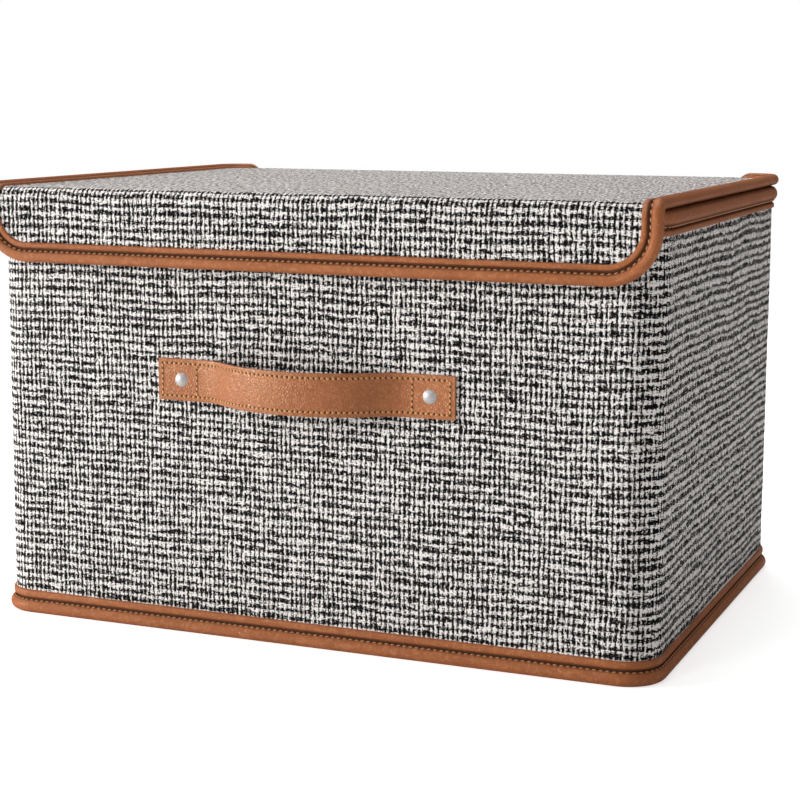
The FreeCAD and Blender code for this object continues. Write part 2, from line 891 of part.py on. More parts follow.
def make_insert():
    half_x = half_width - wall_stack - s.insert_clearance
    half_y = half_depth - wall_stack - s.insert_clearance
    low_z = floor_z + s.insert_lift
    thickness = s.board_thickness + s.cover_thickness * 2
    cover = new_body("insert_cover")
    outline = rounded_rectangle(half_x, half_y, s.insert_corner)
    pad(cover, "outside", "XY_Plane", low_z, thickness, [outline])
    board_outline = rounded_rectangle(
        half_x - s.cover_thickness,
        half_y - s.cover_thickness,
        s.insert_corner - s.cover_thickness,
    )
    board_z = low_z + s.cover_thickness
    hollow = new_sketch(cover, "hollow_outline", "XY_Plane", board_z + s.board_thickness)
    draw(hollow, board_outline)
    document.recompute()
    solid_before = cover.Shape.Volume
    pocket = cover.newObject("PartDesign::Pocket", "insert_cover_hollow")
    pocket.Profile = hollow
    pocket.setExpression("Length", s.board_thickness.text)
    document.recompute()
    if cover.Shape.Volume >= solid_before:
        raise RuntimeError("insert_cover: the hollow cut nothing")
    board = new_body("insert_board")
    pad(board, "panel", "XY_Plane", board_z, s.board_thickness, [board_outline])


make_wall_boards()
make_wall_sleeve("body_fabric", zero, s.fabric_thickness, wall_top)
make_wall_sleeve(
    "body_lining",
    s.fabric_thickness + s.board_thickness,
    s.lining_thickness,
    rim_z - s.rim_flange,
)
make_floor()
make_rim_piping()
make_base_piping()
make_lid_panels()
make_lid_piping()
make_crease_sheets()
make_crease_piping()
make_flap_panels()
make_flap_piping()
make_hinge_strip()
make_strap()
make_rivets()
make_insert()
document.recompute()

for item in document.Objects:
    if "Invalid" in item.State or "Error" in item.State:
        raise RuntimeError(f"{item.Name} failed: {item.State}")
for name, body in node_bodies.items():
    if body.Shape.isNull() or not body.Shape.isValid():
        raise RuntimeError(f"{name} has no valid shape")

os.makedirs("parts", exist_ok=True)
for name, body in node_bodies.items():
    body.Shape.exportStep(f"parts/{name}.step")
print(len(node_bodies), "pieces written")
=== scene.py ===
import math

import bpy
from mathutils import Matrix, Vector


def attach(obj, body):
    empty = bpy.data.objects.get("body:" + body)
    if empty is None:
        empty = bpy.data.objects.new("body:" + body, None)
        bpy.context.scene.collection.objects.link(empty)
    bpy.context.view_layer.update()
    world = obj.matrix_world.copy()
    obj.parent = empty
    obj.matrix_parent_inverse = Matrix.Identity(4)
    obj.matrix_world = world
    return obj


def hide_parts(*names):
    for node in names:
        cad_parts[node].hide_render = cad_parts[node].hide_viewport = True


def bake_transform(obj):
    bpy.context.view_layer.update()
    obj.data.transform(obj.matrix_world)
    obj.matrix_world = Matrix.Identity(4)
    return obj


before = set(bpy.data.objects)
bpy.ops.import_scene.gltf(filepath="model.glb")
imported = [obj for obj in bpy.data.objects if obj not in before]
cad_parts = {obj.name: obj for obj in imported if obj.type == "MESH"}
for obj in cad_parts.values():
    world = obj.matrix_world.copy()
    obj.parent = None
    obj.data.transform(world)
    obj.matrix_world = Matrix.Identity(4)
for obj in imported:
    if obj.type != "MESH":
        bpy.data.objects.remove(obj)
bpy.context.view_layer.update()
print("stage: the packed frame is loaded,", len(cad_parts), "nodes")


# Working helpers: one object picked at a time, as at the screen

def clearPicks():
    if bpy.context.object and bpy.context.object.mode != "OBJECT":
        bpy.ops.object.mode_set(mode="OBJECT")
    bpy.ops.object.select_all(action="DESELECT")


def pick(piece):
    clearPicks()
    piece.select_set(True)
    bpy.context.view_layer.objects.active = piece


def settle(piece):
    pick(piece)
    bpy.ops.object.transform_apply(location=True, rotation=True, scale=True)


def applyModifiers(piece):
    pick(piece)
    for modifier in list(piece.modifiers):
        bpy.ops.object.modifier_apply(modifier=modifier.name)


def nameIt(piece, name):
    piece.name = name
    piece.data.name = name
    return piece


def editAll(piece):
    pick(piece)
    bpy.ops.object.mode_set(mode="EDIT")
    bpy.ops.mesh.select_all(action="SELECT")


def backToObject():
    bpy.ops.object.mode_set(mode="OBJECT")


# A primitive, sized, placed and tilted, with that settled in its mesh
def addShape(maker, name, scale=(1, 1, 1), place=(0, 0, 0), tilt=(0, 0, 0), **settings):
    clearPicks()
    maker(**settings)
    shape = nameIt(bpy.context.object, name)
    shape.scale, shape.location = scale, place
    shape.rotation_euler = [math.radians(degrees) for degrees in tilt]
    settle(shape)
    return shape


def extrude(move):
    bpy.ops.mesh.extrude_region_move(TRANSFORM_OT_translate={"value": move})


def cutThrough(place, normal):
    bpy.ops.mesh.select_all(action="SELECT")
    bpy.ops.mesh.bisect(plane_co=place, plane_no=normal)


def cutGrid(grid, columns, rows, middleY=0.0):
    for column in range(-columns, columns + 1):
        cutThrough((column * grid, 0, 0), (1, 0, 0))
    for row in range(-rows, rows + 1):
        cutThrough((0, middleY + row * grid, 0), (0, 1, 0))


# Leaves edit mode open with only those vertices, edges or faces picked that pass the test
def choose(piece, kind, test):
    pick(piece)
    bpy.ops.object.mode_set(mode="EDIT")
    bpy.ops.mesh.select_mode(type=kind)
    bpy.ops.mesh.select_all(action="DESELECT")
    backToObject()
    mesh = piece.data
    items = {"VERT": mesh.vertices, "EDGE": mesh.edges, "FACE": mesh.polygons}[kind]
    for item in items:
        item.select = test(item)
    bpy.ops.object.mode_set(mode="EDIT")


def edgeSpots(mesh, edge):
    return [mesh.vertices[index].co for index in edge.vertices]


def isUpright(mesh, edge):
    first, second = edgeSpots(mesh, edge)
    return abs(first.z - second.z) > 1e-4


def smooth(piece, degrees=38):
    pick(piece)
    bpy.ops.object.shade_smooth_by_angle(angle=math.radians(degrees))


def tidyMesh(piece):
    editAll(piece)
    bpy.ops.mesh.remove_doubles(threshold=1e-6)
    bpy.ops.mesh.normals_make_consistent(inside=False)
    backToObject()


def closeEnds(piece):
    editAll(piece)
    bpy.ops.mesh.fill_holes(sides=0)
    bpy.ops.mesh.normals_make_consistent(inside=False)
    backToObject()
    smooth(piece)


# A path is a start point and a list of steps: runs (a vector, cut into parts) and turns (centre, axis, degrees)

def run(vector, part=0.009):
    vector = Vector(vector)
    return {"run": vector, "parts": max(1, round(vector.length / part))}


def turn(centre, axis, degrees, steps=12):
    return {"centre": Vector(centre), "axis": Vector(axis), "angle": math.radians(degrees), "steps": steps}


def pathPoints(start, steps):
    here = Vector(start)
    points = [here.copy()]
    for step in steps:
        if "run" in step:
            here = here + step["run"]
            points.append(here.copy())
        else:
            part = Matrix.Rotation(step["angle"] / step["steps"], 3, step["axis"])
            for _ in range(step["steps"]):
                here = part @ (here - step["centre"]) + step["centre"]
                points.append(here.copy())
    return points


# Sweeps a closed outline along the steps: extrude on the runs, spin round the corners.
# A tail is a list of (move, shrink) pairs that thin the end down, where piping is tucked into a seam
def sweep(name, outline, steps, groove=None, tail=(), tailCentre=None, bothHalves=False):
    piece = addShape(
        bpy.ops.mesh.primitive_circle_add, name, vertices=len(outline), radius=0.01, fill_type="NOTHING"
    )
    for vertex, point in zip(piece.data.vertices, outline):
        vertex.co = point
    # the groove attribute holds how much painted shade the leatherette lays on each spot
    if groove:
        mark = piece.data.attributes.new("groove", "FLOAT", "POINT")
        mark.data.foreach_set("value", groove)
    editAll(piece)
    for step in steps:
        if "run" in step:
            for _ in range(step["parts"]):
                extrude(step["run"] / step["parts"])
        else:
            bpy.ops.mesh.spin(
                steps=step["steps"], angle=-step["angle"], center=step["centre"], axis=step["axis"]
            )
    centre = Vector(tailCentre) if tailCentre else None
    for move, shrink in tail:
        centre += Vector(move)
        extrude(move)
        bpy.ops.transform.resize(value=(shrink, shrink, shrink), center_override=centre)
    backToObject()
    if bothHalves:
        other = piece.modifiers.new("otherHalf", "MIRROR")
        other.merge_threshold = 1e-5
        applyModifiers(piece)
    closeEnds(piece)
    return piece


def mirrored(piece, name):
    pick(piece)
    bpy.ops.object.duplicate()
    twin = nameIt(bpy.context.object, name)
    editAll(twin)
    bpy.ops.transform.resize(value=(-1, 1, 1), center_override=(0, 0, 0))
    bpy.ops.mesh.normals_make_consistent(inside=False)
    backToObject()
    return twin


# Carries a flat piece made in plan to the front: x stays, plan depth becomes height
def standUp(piece):
    piece.rotation_euler = (math.radians(90), 0, 0)
    settle(piece)
    return piece


def ripple(piece, strength, grain, middle, hold=None):
    cloud = bpy.data.textures.new(piece.name + "Ripple", "CLOUDS")
    cloud.noise_scale = grain
    wave = piece.modifiers.new("ripple", "DISPLACE")
    wave.texture = cloud
    if hold:
        loose = piece.vertex_groups.new(name="loose")
        for vertex in piece.data.vertices:
            loose.add([vertex.index], hold(vertex.co), "REPLACE")
        wave.vertex_group = "loose"
    wave.strength = strength
    wave.mid_level = middle
    applyModifiers(piece)


def thicken(piece, thickness):
    shell = piece.modifiers.new("thickness", "SOLIDIFY")
    shell.thickness = thickness
    shell.offset = -1
    applyModifiers(piece)


def setWeaveMap(piece, place):
    layer = piece.data.uv_layers.new(name="weave") if not piece.data.uv_layers else piece.data.uv_layers[0]
    layer.name = "weave"
    vertices = piece.data.vertices
    for polygon in piece.data.polygons:
        for corner in polygon.loop_indices:
            spot = vertices[piece.data.loops[corner].vertex_index].co
            layer.data[corner].uv = place(spot, polygon.center)


# How far a spot looks like the side walls, where the crosswise yarns lie on top, read by the tweed
def setWeft(piece, amount):
    mark = piece.data.attributes.new("weft", "FLOAT", "POINT")
    mark.data.foreach_set("value", [amount(vertex.co) for vertex in piece.data.vertices])


# Camera, fitted to the photograph's edges

view = {
    "place": (0.435855, -1.085176, 0.309643), "yaw": 22.95, "pitch": 8.246, "roll": 0.123,
    "lens": 84.954, "shiftX": 0.0375, "shiftY": -0.04375,
}
bpy.ops.object.camera_add(location=view["place"])
camera = bpy.context.object
camera.rotation_mode = "QUATERNION"
camera.rotation_quaternion = (
    Matrix.Rotation(math.radians(view["yaw"]), 3, "Z")
    @ Matrix.Rotation(math.radians(90 - view["pitch"]), 3, "X")
    @ Matrix.Rotation(math.radians(view["roll"]), 3, "Z")
).to_quaternion()
camera.data.sensor_width, camera.data.clip_end = 36, 30
camera.data.lens, camera.data.shift_x, camera.data.shift_y = view["lens"], view["shiftX"], view["shiftY"]
bpy.context.scene.camera = camera
print("stage: camera set")


# Material nodes: the tree that is being filled is set by newMaterial and makeWorld

current = {}


def newMaterial(name):
    material = bpy.data.materials.new(name)
    material.use_nodes = True
    current["tree"] = material.node_tree
    return material, material.node_tree.nodes["Principled BSDF"]


def plug(value, socket):
    if isinstance(value, bpy.types.NodeSocket):
        socket.id_data.links.new(value, socket)
    else:
        socket.default_value = value


# Inputs by number or by name, with _ for each space in a name
def fill(node, *values, **named):
    for index, value in enumerate(values):
        plug(value, node.inputs[index])
    for name, value in named.items():
        plug(value, node.inputs[name.replace("_", " ")])


def add(kind, settings=None, *values, **named):
    made = current["tree"].nodes.new("ShaderNode" + kind)
    for key, value in (settings or {}).items():
        setattr(made, key, value)
    fill(made, *values, **named)
    return made


def maths(operation, first, second=0.0, clamp=False):
    return add("Math", {"operation": operation, "use_clamp": clamp}, first, second).outputs[0]


def times(first, second, clamp=False):
    return maths("MULTIPLY", first, second, clamp)


def plus(first, second, clamp=False):
    return maths("ADD", first, second, clamp)


def blendColour(factor, first, second):
    made = add("Mix", {"data_type": "RGBA"}, factor)
    plug(first, made.inputs[6])
    plug(second, made.inputs[7])
    return made.outputs[2]


def blendValue(factor, first, second):
    made = add("Mix", None, factor)
    plug(first, made.inputs[2])
    plug(second, made.inputs[3])
    return made.outputs[0]


def spread(value, low, high, toLow=0.0, toHigh=1.0, smoothly=True):
    kind = {"interpolation_type": "SMOOTHSTEP" if smoothly else "LINEAR"}
    limits = {"From_Min": low, "From_Max": high, "To_Min": toLow, "To_Max": toHigh}
    return add("MapRange", kind, Value=value, **limits).outputs[0]


def noise(vector, scale, detail=2.0, rough=0.5):
    return add("TexNoise", Vector=vector, Scale=scale, Detail=detail, Roughness=rough).outputs["Fac"]


def bumpInto(shader, height, distance, strength):
    bump = add("Bump", Height=height, Distance=distance, Strength=strength)
    plug(bump.outputs["Normal"], shader.inputs["Normal"])


def hexColour(red, green, blue):
    def linear(level):
        level /= 255
        return level / 12.92 if level <= 0.04045 else ((level + 0.055) / 1.055) ** 2.4

    return (linear(red), linear(green), linear(blue), 1.0)


# A drift is its grain and its reach; a pair, as "oddRow" has, is for the front and for the side walls
tweedCloth = {
    "across": 0.00285, "up": 0.00475, "white": (0.94, 0.895, 0.862, 1), "black": (0.004, 0.0035, 0.0033, 1),
    "drifts": [(12.0, (0.0022, 0.0052, 0)), (60.0, (0.0011, 0.0015, 0)), (640.0, (0.0008, 0.0011, 0))],
    "darkShare": 0.49, "shareVary": 1.0, "oddRow": (0.12, 0.156), "slubs": 110.0, "soft": 5.0,
    "swapGrain": 640.0, "swap": 2.8, "columnHold": 1.3, "upright": 0.54, "swapMost": (0.96, 0.5),
    "strand": 1600.0, "strandThin": 0.3, "strandShade": (2.5, 3.25), "fleck": 700.0, "sideFlecks": 2.2,
    "sharp": (1.0, 1.8), "contrast": 1.25, "lift": -0.05, "curve": 1.9, "relief": 0.0005,
}


# Two-tone tweed: each repeat has a dark and a white yarn both ways, of uneven thickness and wandering,
# and which of the two lies on top changes from spot to spot. The attribute "weft" is 0 on the front, 0.1 on
# the lid and 1 on the side walls, and the higher it is, the more the crosswise yarns lie on top
def makeTweed(name, sheen, flecks):
    look = tweedCloth
    material, shader = newMaterial(name)
    weave = add("UVMap", {"uv_map": "weave"}).outputs[0]
    weft = add("Attribute", {"attribute_name": "weft"}).outputs["Fac"]

    def around(value, amount):
        return times(maths("SUBTRACT", value, 0.5), amount)

    def stretched(alongX, alongY, grain):
        axes = add("Mapping", Vector=weave, Scale=(alongX, alongY, 1))
        return noise(axes.outputs[0], grain, 1.0)

    def bySide(front, side):
        return spread(weft, 0.0, 1.0, front, side, False)

    def spot(first, firstScale, second, secondScale, start=0.0):
        across = plus(times(first, firstScale), start)
        return add("CombineXYZ", X=across, Y=times(second, secondScale)).outputs[0]

    place = weave
    for grain, reach in look["drifts"]:
        cloud = add("TexNoise", Vector=weave, Scale=grain, Detail=1.0).outputs["Color"]
        centred = add("VectorMath", {"operation": "SUBTRACT"}, cloud, (0.5, 0.5, 0.5)).outputs[0]
        place = add("VectorMath", {"operation": "MULTIPLY_ADD"}, centred, reach, place).outputs[0]
    x, y = add("SeparateXYZ", Vector=place).outputs[:2]

    # number of the repeat, tone of its yarn (0 dark, 1 white, soft at the sides) and how far from the yarn's side
    def yarns(coordinate, size, length, seed, odd):
        scaled = maths("DIVIDE", coordinate, size)
        number = maths("FLOOR", scaled)
        inside = maths("FRACT", scaled)
        uneven = noise(spot(number, 5.31, length, look["slubs"], seed), 1.0, 1.0)
        share = plus(around(uneven, look["shareVary"]), look["darkShare"])
        parity = times(maths("FRACT", times(number, 0.5)), 2.0)
        share = plus(share, around(parity, odd))
        toSplit = maths("SUBTRACT", inside, share)
        border = maths("MINIMUM", inside, maths("SUBTRACT", 1.0, inside))
        near = maths("MINIMUM", maths("ABSOLUTE", toSplit), border)
        step = times(times(near, maths("SIGN", toSplit)), look["soft"])
        return number, plus(step, 0.5, True), near

    column, columnTone, columnNear = yarns(x, look["across"], y, 54.6, 0.0)
    row, rowTone, rowNear = yarns(y, look["up"], x, 3.7, bySide(*look["oddRow"]))
    hold = noise(spot(column, 3.3, y, 50.0), 1.0, 1.0)
    swap = plus(around(stretched(1.0, 0.8, look["swapGrain"]), look["swap"]), look["upright"])
    swap = plus(swap, around(hold, look["columnHold"]), True)
    swap = times(swap, bySide(*look["swapMost"]))
    thin = look["strandThin"]
    fine = blendValue(swap, stretched(thin, 1.0, look["strand"]), stretched(1.0, thin, look["strand"]))
    tone = blendValue(swap, rowTone, columnTone)
    tone = plus(tone, around(fine, bySide(*look["strandShade"])))
    fleck = stretched(1.0, thin, look["fleck"])
    tone = plus(tone, around(fleck, bySide(flecks, look["sideFlecks"])))
    tone = times(around(tone, bySide(*look["sharp"])), look["contrast"])
    tone = plus(tone, 0.5 + look["lift"], True)
    tone = maths("POWER", tone, look["curve"])
    fill(
        shader, Base_Color=blendColour(tone, look["black"], look["white"]), Roughness=0.95,
        Specular_IOR_Level=0.06, Sheen_Weight=sheen, Sheen_Roughness=0.3, Sheen_Tint=(1.0, 0.93, 0.91, 1),
    )
    ridge = times(blendValue(swap, rowNear, columnNear), 2.5)
    height = plus(ridge, times(fine, 0.5))
    bumpInto(shader, height, look["relief"], 0.6)
    return material


# the dark groove colour is painted shade, laid in the stitched groove and where beads touch
leatherette = {
    "tan": hexColour(178, 104, 61), "deep": hexColour(136, 73, 38), "pale": hexColour(208, 138, 86),
    "grooveShade": hexColour(36, 15, 7), "glossTint": (1.0, 0.74, 0.52, 1),
    "piping": {"cells": 1100.0, "grain": 0.00030, "gloss": 0.75, "index": 1.4, "rough": 0.25,
               "fading": (0.3, 0.72)},
    "strap": {"cells": 620.0, "grain": 0.00028, "gloss": 1.0, "index": 1.5, "rough": 0.35,
              "fading": (0.6, 1.0)},
}


# Tan coated leatherette: pebbled grain, slow colour drift, and painted shade, dark where it dips into the stitched
# groove and where one bead touches another
def makeLeatherette(name, finish):
    look = leatherette
    material, shader = newMaterial(name)
    place = add("TexCoord").outputs["Object"]
    cells = add("TexVoronoi", {"feature": "DISTANCE_TO_EDGE"}, Vector=place, Scale=finish["cells"])
    pebble = spread(cells.outputs["Distance"], 0.0, 0.22)
    drift = noise(place, 38.0, 3.0)
    mottle = noise(place, 420.0, 3.0)
    colour = blendColour(spread(drift, 0.35, 0.7, 0.0, 0.35), look["tan"], look["deep"])
    colour = blendColour(spread(mottle, 0.45, 0.72, 0.0, 0.55), colour, look["pale"])
    pore = spread(pebble, 0.0, 1.0, 0.45, 0.0)
    colour = blendColour(pore, colour, look["deep"])
    # painted shade: the groove attribute darkens the colour towards the dark groove colour, and also roughens it
    grooveShadeMask = add("Attribute", {"attribute_name": "groove"}).outputs["Fac"]
    colour = blendColour(times(grooveShadeMask, 0.92, True), colour, look["grooveShade"])
    rough = plus(times(mottle, 0.16), finish["rough"])
    rough = plus(rough, times(grooveShadeMask, 0.5), True)
    facing = add("LayerWeight", Blend=0.5).outputs["Facing"]
    gloss = spread(facing, *finish["fading"], finish["gloss"], 0.06)
    fill(
        shader, Base_Color=colour, Roughness=rough, Specular_IOR_Level=gloss, IOR=finish["index"],
        Specular_Tint=look["glossTint"],
    )
    height = plus(pebble, times(mottle, 0.9))
    bumpInto(shader, height, finish["grain"], 0.55)
    return material


# A plain material: one pattern mixes two tones and raises the surface, and a second one may lay a third tone over it
def makePlain(name, pattern, tones, rough, relief, strength, over=None, sheen=0.0):
    material, shader = newMaterial(name)
    place = add("TexCoord").outputs["Object"]
    fibre = pattern(place)
    colour = blendColour(fibre, tones[0], tones[1])
    if over:
        colour = blendColour(over(place), colour, tones[2])
    fill(shader, Base_Color=colour, Roughness=rough, Sheen_Weight=sheen)
    bumpInto(shader, fibre, relief, strength)
    return material


def bands(place, scale, distortion):
    kind = {"wave_type": "BANDS", "bands_direction": "DIAGONAL"}
    return add("TexWave", kind, Vector=place, Scale=scale, Distortion=distortion, Detail=2.0).outputs["Fac"]


# Sewing thread: twisted strands across the length of each stitch
def makeThread(name, *tones):
    return makePlain(
        name, lambda place: noise(place, 1900.0, 2.0), tones, 0.55, 0.00012, 0.6,
        lambda place: spread(noise(place, 240.0, 1.0), 0.4, 0.7, 0.0, 0.4), 0.2,
    )


# Non-woven lining: pressed fibres, with rows of small embossed dots
def makeLining(name, tone, dots=True):
    material, shader = newMaterial(name)
    weave = add("UVMap", {"uv_map": "weave"}).outputs[0]
    fibre = noise(weave, 700.0, 5.0, 0.7)
    cloud = noise(weave, 45.0, 3.0)
    spots = add("TexVoronoi", {"feature": "F1"}, Vector=weave, Scale=620.0, Randomness=0.12)
    dot = spread(spots.outputs["Distance"], 0.16, 0.34)
    dark = tuple(level * 0.72 for level in tone[:3]) + (1.0,)
    pale = tuple(min(1.0, level * 1.12) for level in tone[:3]) + (1.0,)
    colour = blendColour(spread(fibre, 0.35, 0.68), dark, pale)
    colour = blendColour(spread(cloud, 0.4, 0.7, 0.0, 0.25), colour, dark)
    height = fibre
    if dots:
        colour = blendColour(spread(dot, 0.0, 1.0, 0.35, 0.0), colour, dark)
        height = plus(times(dot, 1.2), fibre)
    fill(shader, Base_Color=colour, Roughness=0.88, Sheen_Weight=0.15)
    bumpInto(shader, height, 0.00022, 0.6)
    return material


# Satin nickel for rivets and washers
def makeNickel():
    material, shader = newMaterial("satinNickel")
    place = add("TexCoord").outputs["Object"]
    haze = noise(place, 500.0, 3.0)
    scratch = add("Mapping", Vector=place, Scale=(300.0, 2600.0, 2600.0))
    line = noise(scratch.outputs[0], 1.0, 3.0)
    colour = blendColour(haze, (0.50, 0.488, 0.48, 1), (0.60, 0.588, 0.578, 1))
    fill(shader, Base_Color=colour, Metallic=0.45, Roughness=spread(haze, 0.3, 0.7, 0.42, 0.55))
    dents = noise(place, 1000.0, 1.0)
    bumpInto(shader, plus(dents, times(line, 0.1)), 0.0004, 0.5)
    return material


tweed = makeTweed("tweed", 0.08, 0.0)
lidTweed = makeTweed("brushedTweed", 0.38, 5.0)
leather = makeLeatherette("pipingLeatherette", leatherette["piping"])
strapLeather = makeLeatherette("strapLeatherette", leatherette["strap"])
thread = makeThread("tanThread", hexColour(142, 84, 40), hexColour(216, 150, 90), hexColour(168, 104, 66))
goldThread = makeThread("goldThread", hexColour(168, 104, 48), hexColour(240, 180, 108), hexColour(200, 136, 76))
# the needle hole's dark brown is painted shade, standing in for the shade inside the hole
needleHoleShade = makePlain(
    "needleHoleShade", lambda place: noise(place, 900.0, 2.0), (hexColour(44, 19, 9), hexColour(84, 40, 20)),
    0.8, 0.0001, 0.5,
)
lining = makeLining("greyLining", hexColour(150, 146, 141))
strapBack = makeLining("strapBacking", hexColour(176, 118, 84), dots=False)
# bookbinder's board of pressed fibre flecks, and twisted cotton piping filler
greyboard = makePlain(
    "greyboard", lambda place: noise(place, 1200.0, 4.0, 0.7),
    (hexColour(112, 106, 98), hexColour(168, 161, 150), hexColour(126, 112, 92)), 0.86, 0.00015, 0.5,
    lambda place: times(bands(place, 260.0, 6.0), 0.18),
)
cordCotton = makePlain(
    "cordCotton", lambda place: bands(place, 190.0, 1.5), (hexColour(196, 188, 172), hexColour(232, 227, 214)),
    0.9, 0.0003, 0.6,
)
nickel = makeNickel()
print("stage: materials made")


def finishPiece(piece, material, slot, body, node):
    piece.data.materials.append(material)
    if body:
        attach(piece, body)
    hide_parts(node)
    return piece


# Levels and widths that several pieces share, in metres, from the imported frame. "shift" is how far out from the
# panel's face the middle of a bead lies

box = {
    "halfWidth": 0.200, "halfDepth": 0.150, "corner": 0.020, "cloth": 0.001, "board": 0.002,
    "lining": 0.0008, "leather": 0.0008, "grooveLeather": 0.0005, "foldHeight": 0.0015,
    "wallTop": 0.2413, "wallFoot": 0.0068, "rimTop": 0.2505, "cordGap": 0.0001, "wall": 0.0038,
    "floorLining": 0.0074, "underCloth": 0.0046,
}
# Each bead's touching angle, in degrees round the bead, is where the painted shade from the next bead is centred
rim = {
    "radius": 0.0050, "shift": -0.0017, "groove": 0.0012, "fold": 0.0036, "flange": 0.014,
    "level": 0.2455, "tuckX": 0.1760, "touchShade": 92,
}
foot = {
    "radius": 0.0040, "shift": -0.0004, "groove": 0.0013, "fold": 0.0048, "flange": 0.011, "level": 0.0036,
}
lid = {
    "radius": 0.0034, "shift": -0.0005, "groove": 0.0014, "fold": 0.0035, "flange": 0.012,
    "level": 0.2541, "beadX": 0.1993, "hingeY": 0.1505, "corner": 0.014, "tuckX": 0.1813,
    "top": 0.2546, "under": 0.2508, "edge": 0.0026, "touchShade": 172, "rowGap": 0.0014,
}
flap = {
    "faceY": -0.1577, "creaseY": -0.1512, "creaseZ": 0.2481, "beadZ": 0.2148,
    "corner": 0.026, "topZ": 0.2478, "bend": 0.0065,
}
# "rise" is how far a row stands out from the leather, "innerRise" how far an inner row lies out from the lining, and
# "near" how far a row lies over the bead's foot
stitch = {"pitch": 0.0036, "length": 0.0028, "width": 0.0015, "height": 0.0013, "slant": 16,
          "rise": 0.0004, "innerRise": 0.0003, "near": 0.0004, "hole": 0.0012, "thread": thread}
needle = {"narrow": 0.85, "depth": 0.0006, "sink": 0.25}
# painted shade on the bead's leather where it touches what lies on it, up to this many degrees away
touchShade = {"width": 58, "power": 0.65}


def leg(hypotenuse, other):
    return math.sqrt(hypotenuse * hypotenuse - other * other)


def arcPoints(centre, radius, start, end, count):
    points = []
    for step in range(count + 1):
        angle = start + (end - start) * step / count
        points.append((centre[0] + radius * math.cos(angle), centre[1] + radius * math.sin(angle)))
    return points


# The folded edge on the panel's face, rounded over and ending at the groove
def foldPoints(start, length):
    points = []
    for step in range(9):
        share = step / 8
        bulge = (1 - abs(2 * share - 1) ** 3.2) ** 0.5
        low = 0.0 if share < 0.5 else box["grooveLeather"]
        points.append((max(low, box["foldHeight"] * bulge), -start + length * share))
    return points


def beadFoot(bead):
    return leg(bead["radius"], box["grooveLeather"] - bead["shift"])


# A section is the wrapped strip's outline as (out, along) pairs, and how deep each spot lies in the stitched groove,
# which the leatherette lays on as painted shade.
# This gives its fold, its groove and the angle at which the bead starts
def startSection(bead):
    foldEnd = beadFoot(bead) + bead["groove"]
    outline = foldPoints(foldEnd + bead["fold"], bead["fold"])
    outline.append((box["grooveLeather"] - 0.0001, bead["groove"] / 2 - foldEnd))
    depth = [0, 0, 0, 0, 0, 0, 0.05, 0.3, 0.8, 1.0]
    return outline, depth, math.atan2(-beadFoot(bead), box["grooveLeather"] - bead["shift"])


# The inner side of the bead, from the face at endOut back to the panel
def innerArc(bead, endOut):
    shift, radius = bead["shift"], bead["radius"] - box["leather"]
    first = 2 * math.pi - math.acos(endOut / radius)
    return arcPoints((shift, 0), radius, first, math.atan2(-leg(radius, shift), -shift), 12)


# The strip on a panel edge: fold, bead round the edge and flange on the lining
def edgeSection(bead):
    radius, shift = bead["radius"], bead["shift"]
    outline, depth, low = startSection(bead)
    high = 2 * math.pi - math.acos((-box["wall"] - shift) / radius)
    outline += arcPoints((shift, 0), radius, low, high, 26)
    # painted shade on the bead's foot beside the groove
    depth += [1.0, 0.9, 0.65, 0.25]
    # painted shade where this bead touches the next one, strongest at the touching angle
    for step in range(4, 27):
        angle = math.degrees(low + (high - low) * step / 26)
        depth.append(max(0.0, 1 - abs(angle - bead["touchShade"]) / touchShade["width"]) ** touchShade["power"])
    flangeFoot = leg(radius, box["wall"] + shift)
    reach = bead["flange"] - flangeFoot
    for share, lift in ((0.12, 0.0001), (0.5, 0.00015), (0.9, 0.0001), (1.0, -0.0003)):
        outline.append((-box["wall"] - lift, -flangeFoot - reach * share))
    boardFace = box["cloth"] + box["board"]
    outline.append((-boardFace, -bead["flange"]))
    outline += innerArc(bead, -boardFace - shift)
    # painted shade at the flange's foot, none on the inner side
    depth += [0.3] + [0] * 17
    return outline, depth


# The strip at the foot: a fold up the wall, a bead on the floor and a flange under the board
def footSection():
    radius, shift = foot["radius"], foot["shift"]
    outline, depth, low = startSection(foot)
    floorAngle = math.asin(foot["level"] / radius)
    outline += arcPoints((shift, 0), radius, low, floorAngle, 16)
    # painted shade on the foot bead's side next to the groove
    depth += [1.0, 0.75, 0.4] + [0] * 14
    flangeLow = box["cloth"] - box["leather"]
    high = 2 * math.pi - math.acos(-leg(radius, flangeLow) / radius)
    outline += arcPoints((shift, 0), radius, math.pi - floorAngle, high, 8)
    outline += [(shift - foot["flange"], -flangeLow), (shift - foot["flange"], -box["cloth"])]
    outline += innerArc(foot, -leg(radius - box["leather"], box["cloth"]))
    depth += [0] * 24
    return outline, depth


# The way from the middle of the front round the right side to the rear
def halfRingSteps(endX):
    flatX, flatY = box["halfWidth"] - box["corner"], box["halfDepth"] - box["corner"]
    return [
        run((flatX, 0, 0)), turn((flatX, -flatY, 0), (0, 0, 1), 90),
        run((0, 2 * flatY, 0)), turn((flatX, flatY, 0), (0, 0, 1), 90),
        run((endX - flatX, 0, 0)),
    ]


# The whole way round at a distance out from the walls, from the rear left to the rear right
def ringPath(out, endX):
    right = pathPoints((0, -box["halfDepth"] - out, 0), halfRingSteps(endX))
    return [Vector((-point.x, point.y, 0)) for point in reversed(right)] + right[1:]


# Stitches

def guideCurve(points):
    curve = bpy.data.curves.new("guide", "CURVE")
    curve.dimensions = "2D"
    spline = curve.splines.new("POLY")
    spline.points.add(len(points) - 1)
    for spot, point in zip(spline.points, points):
        spot.co = (point[0], point[1], 0, 1)
    guide = bpy.data.objects.new("guide", curve)
    bpy.context.scene.collection.objects.link(guide)
    return guide


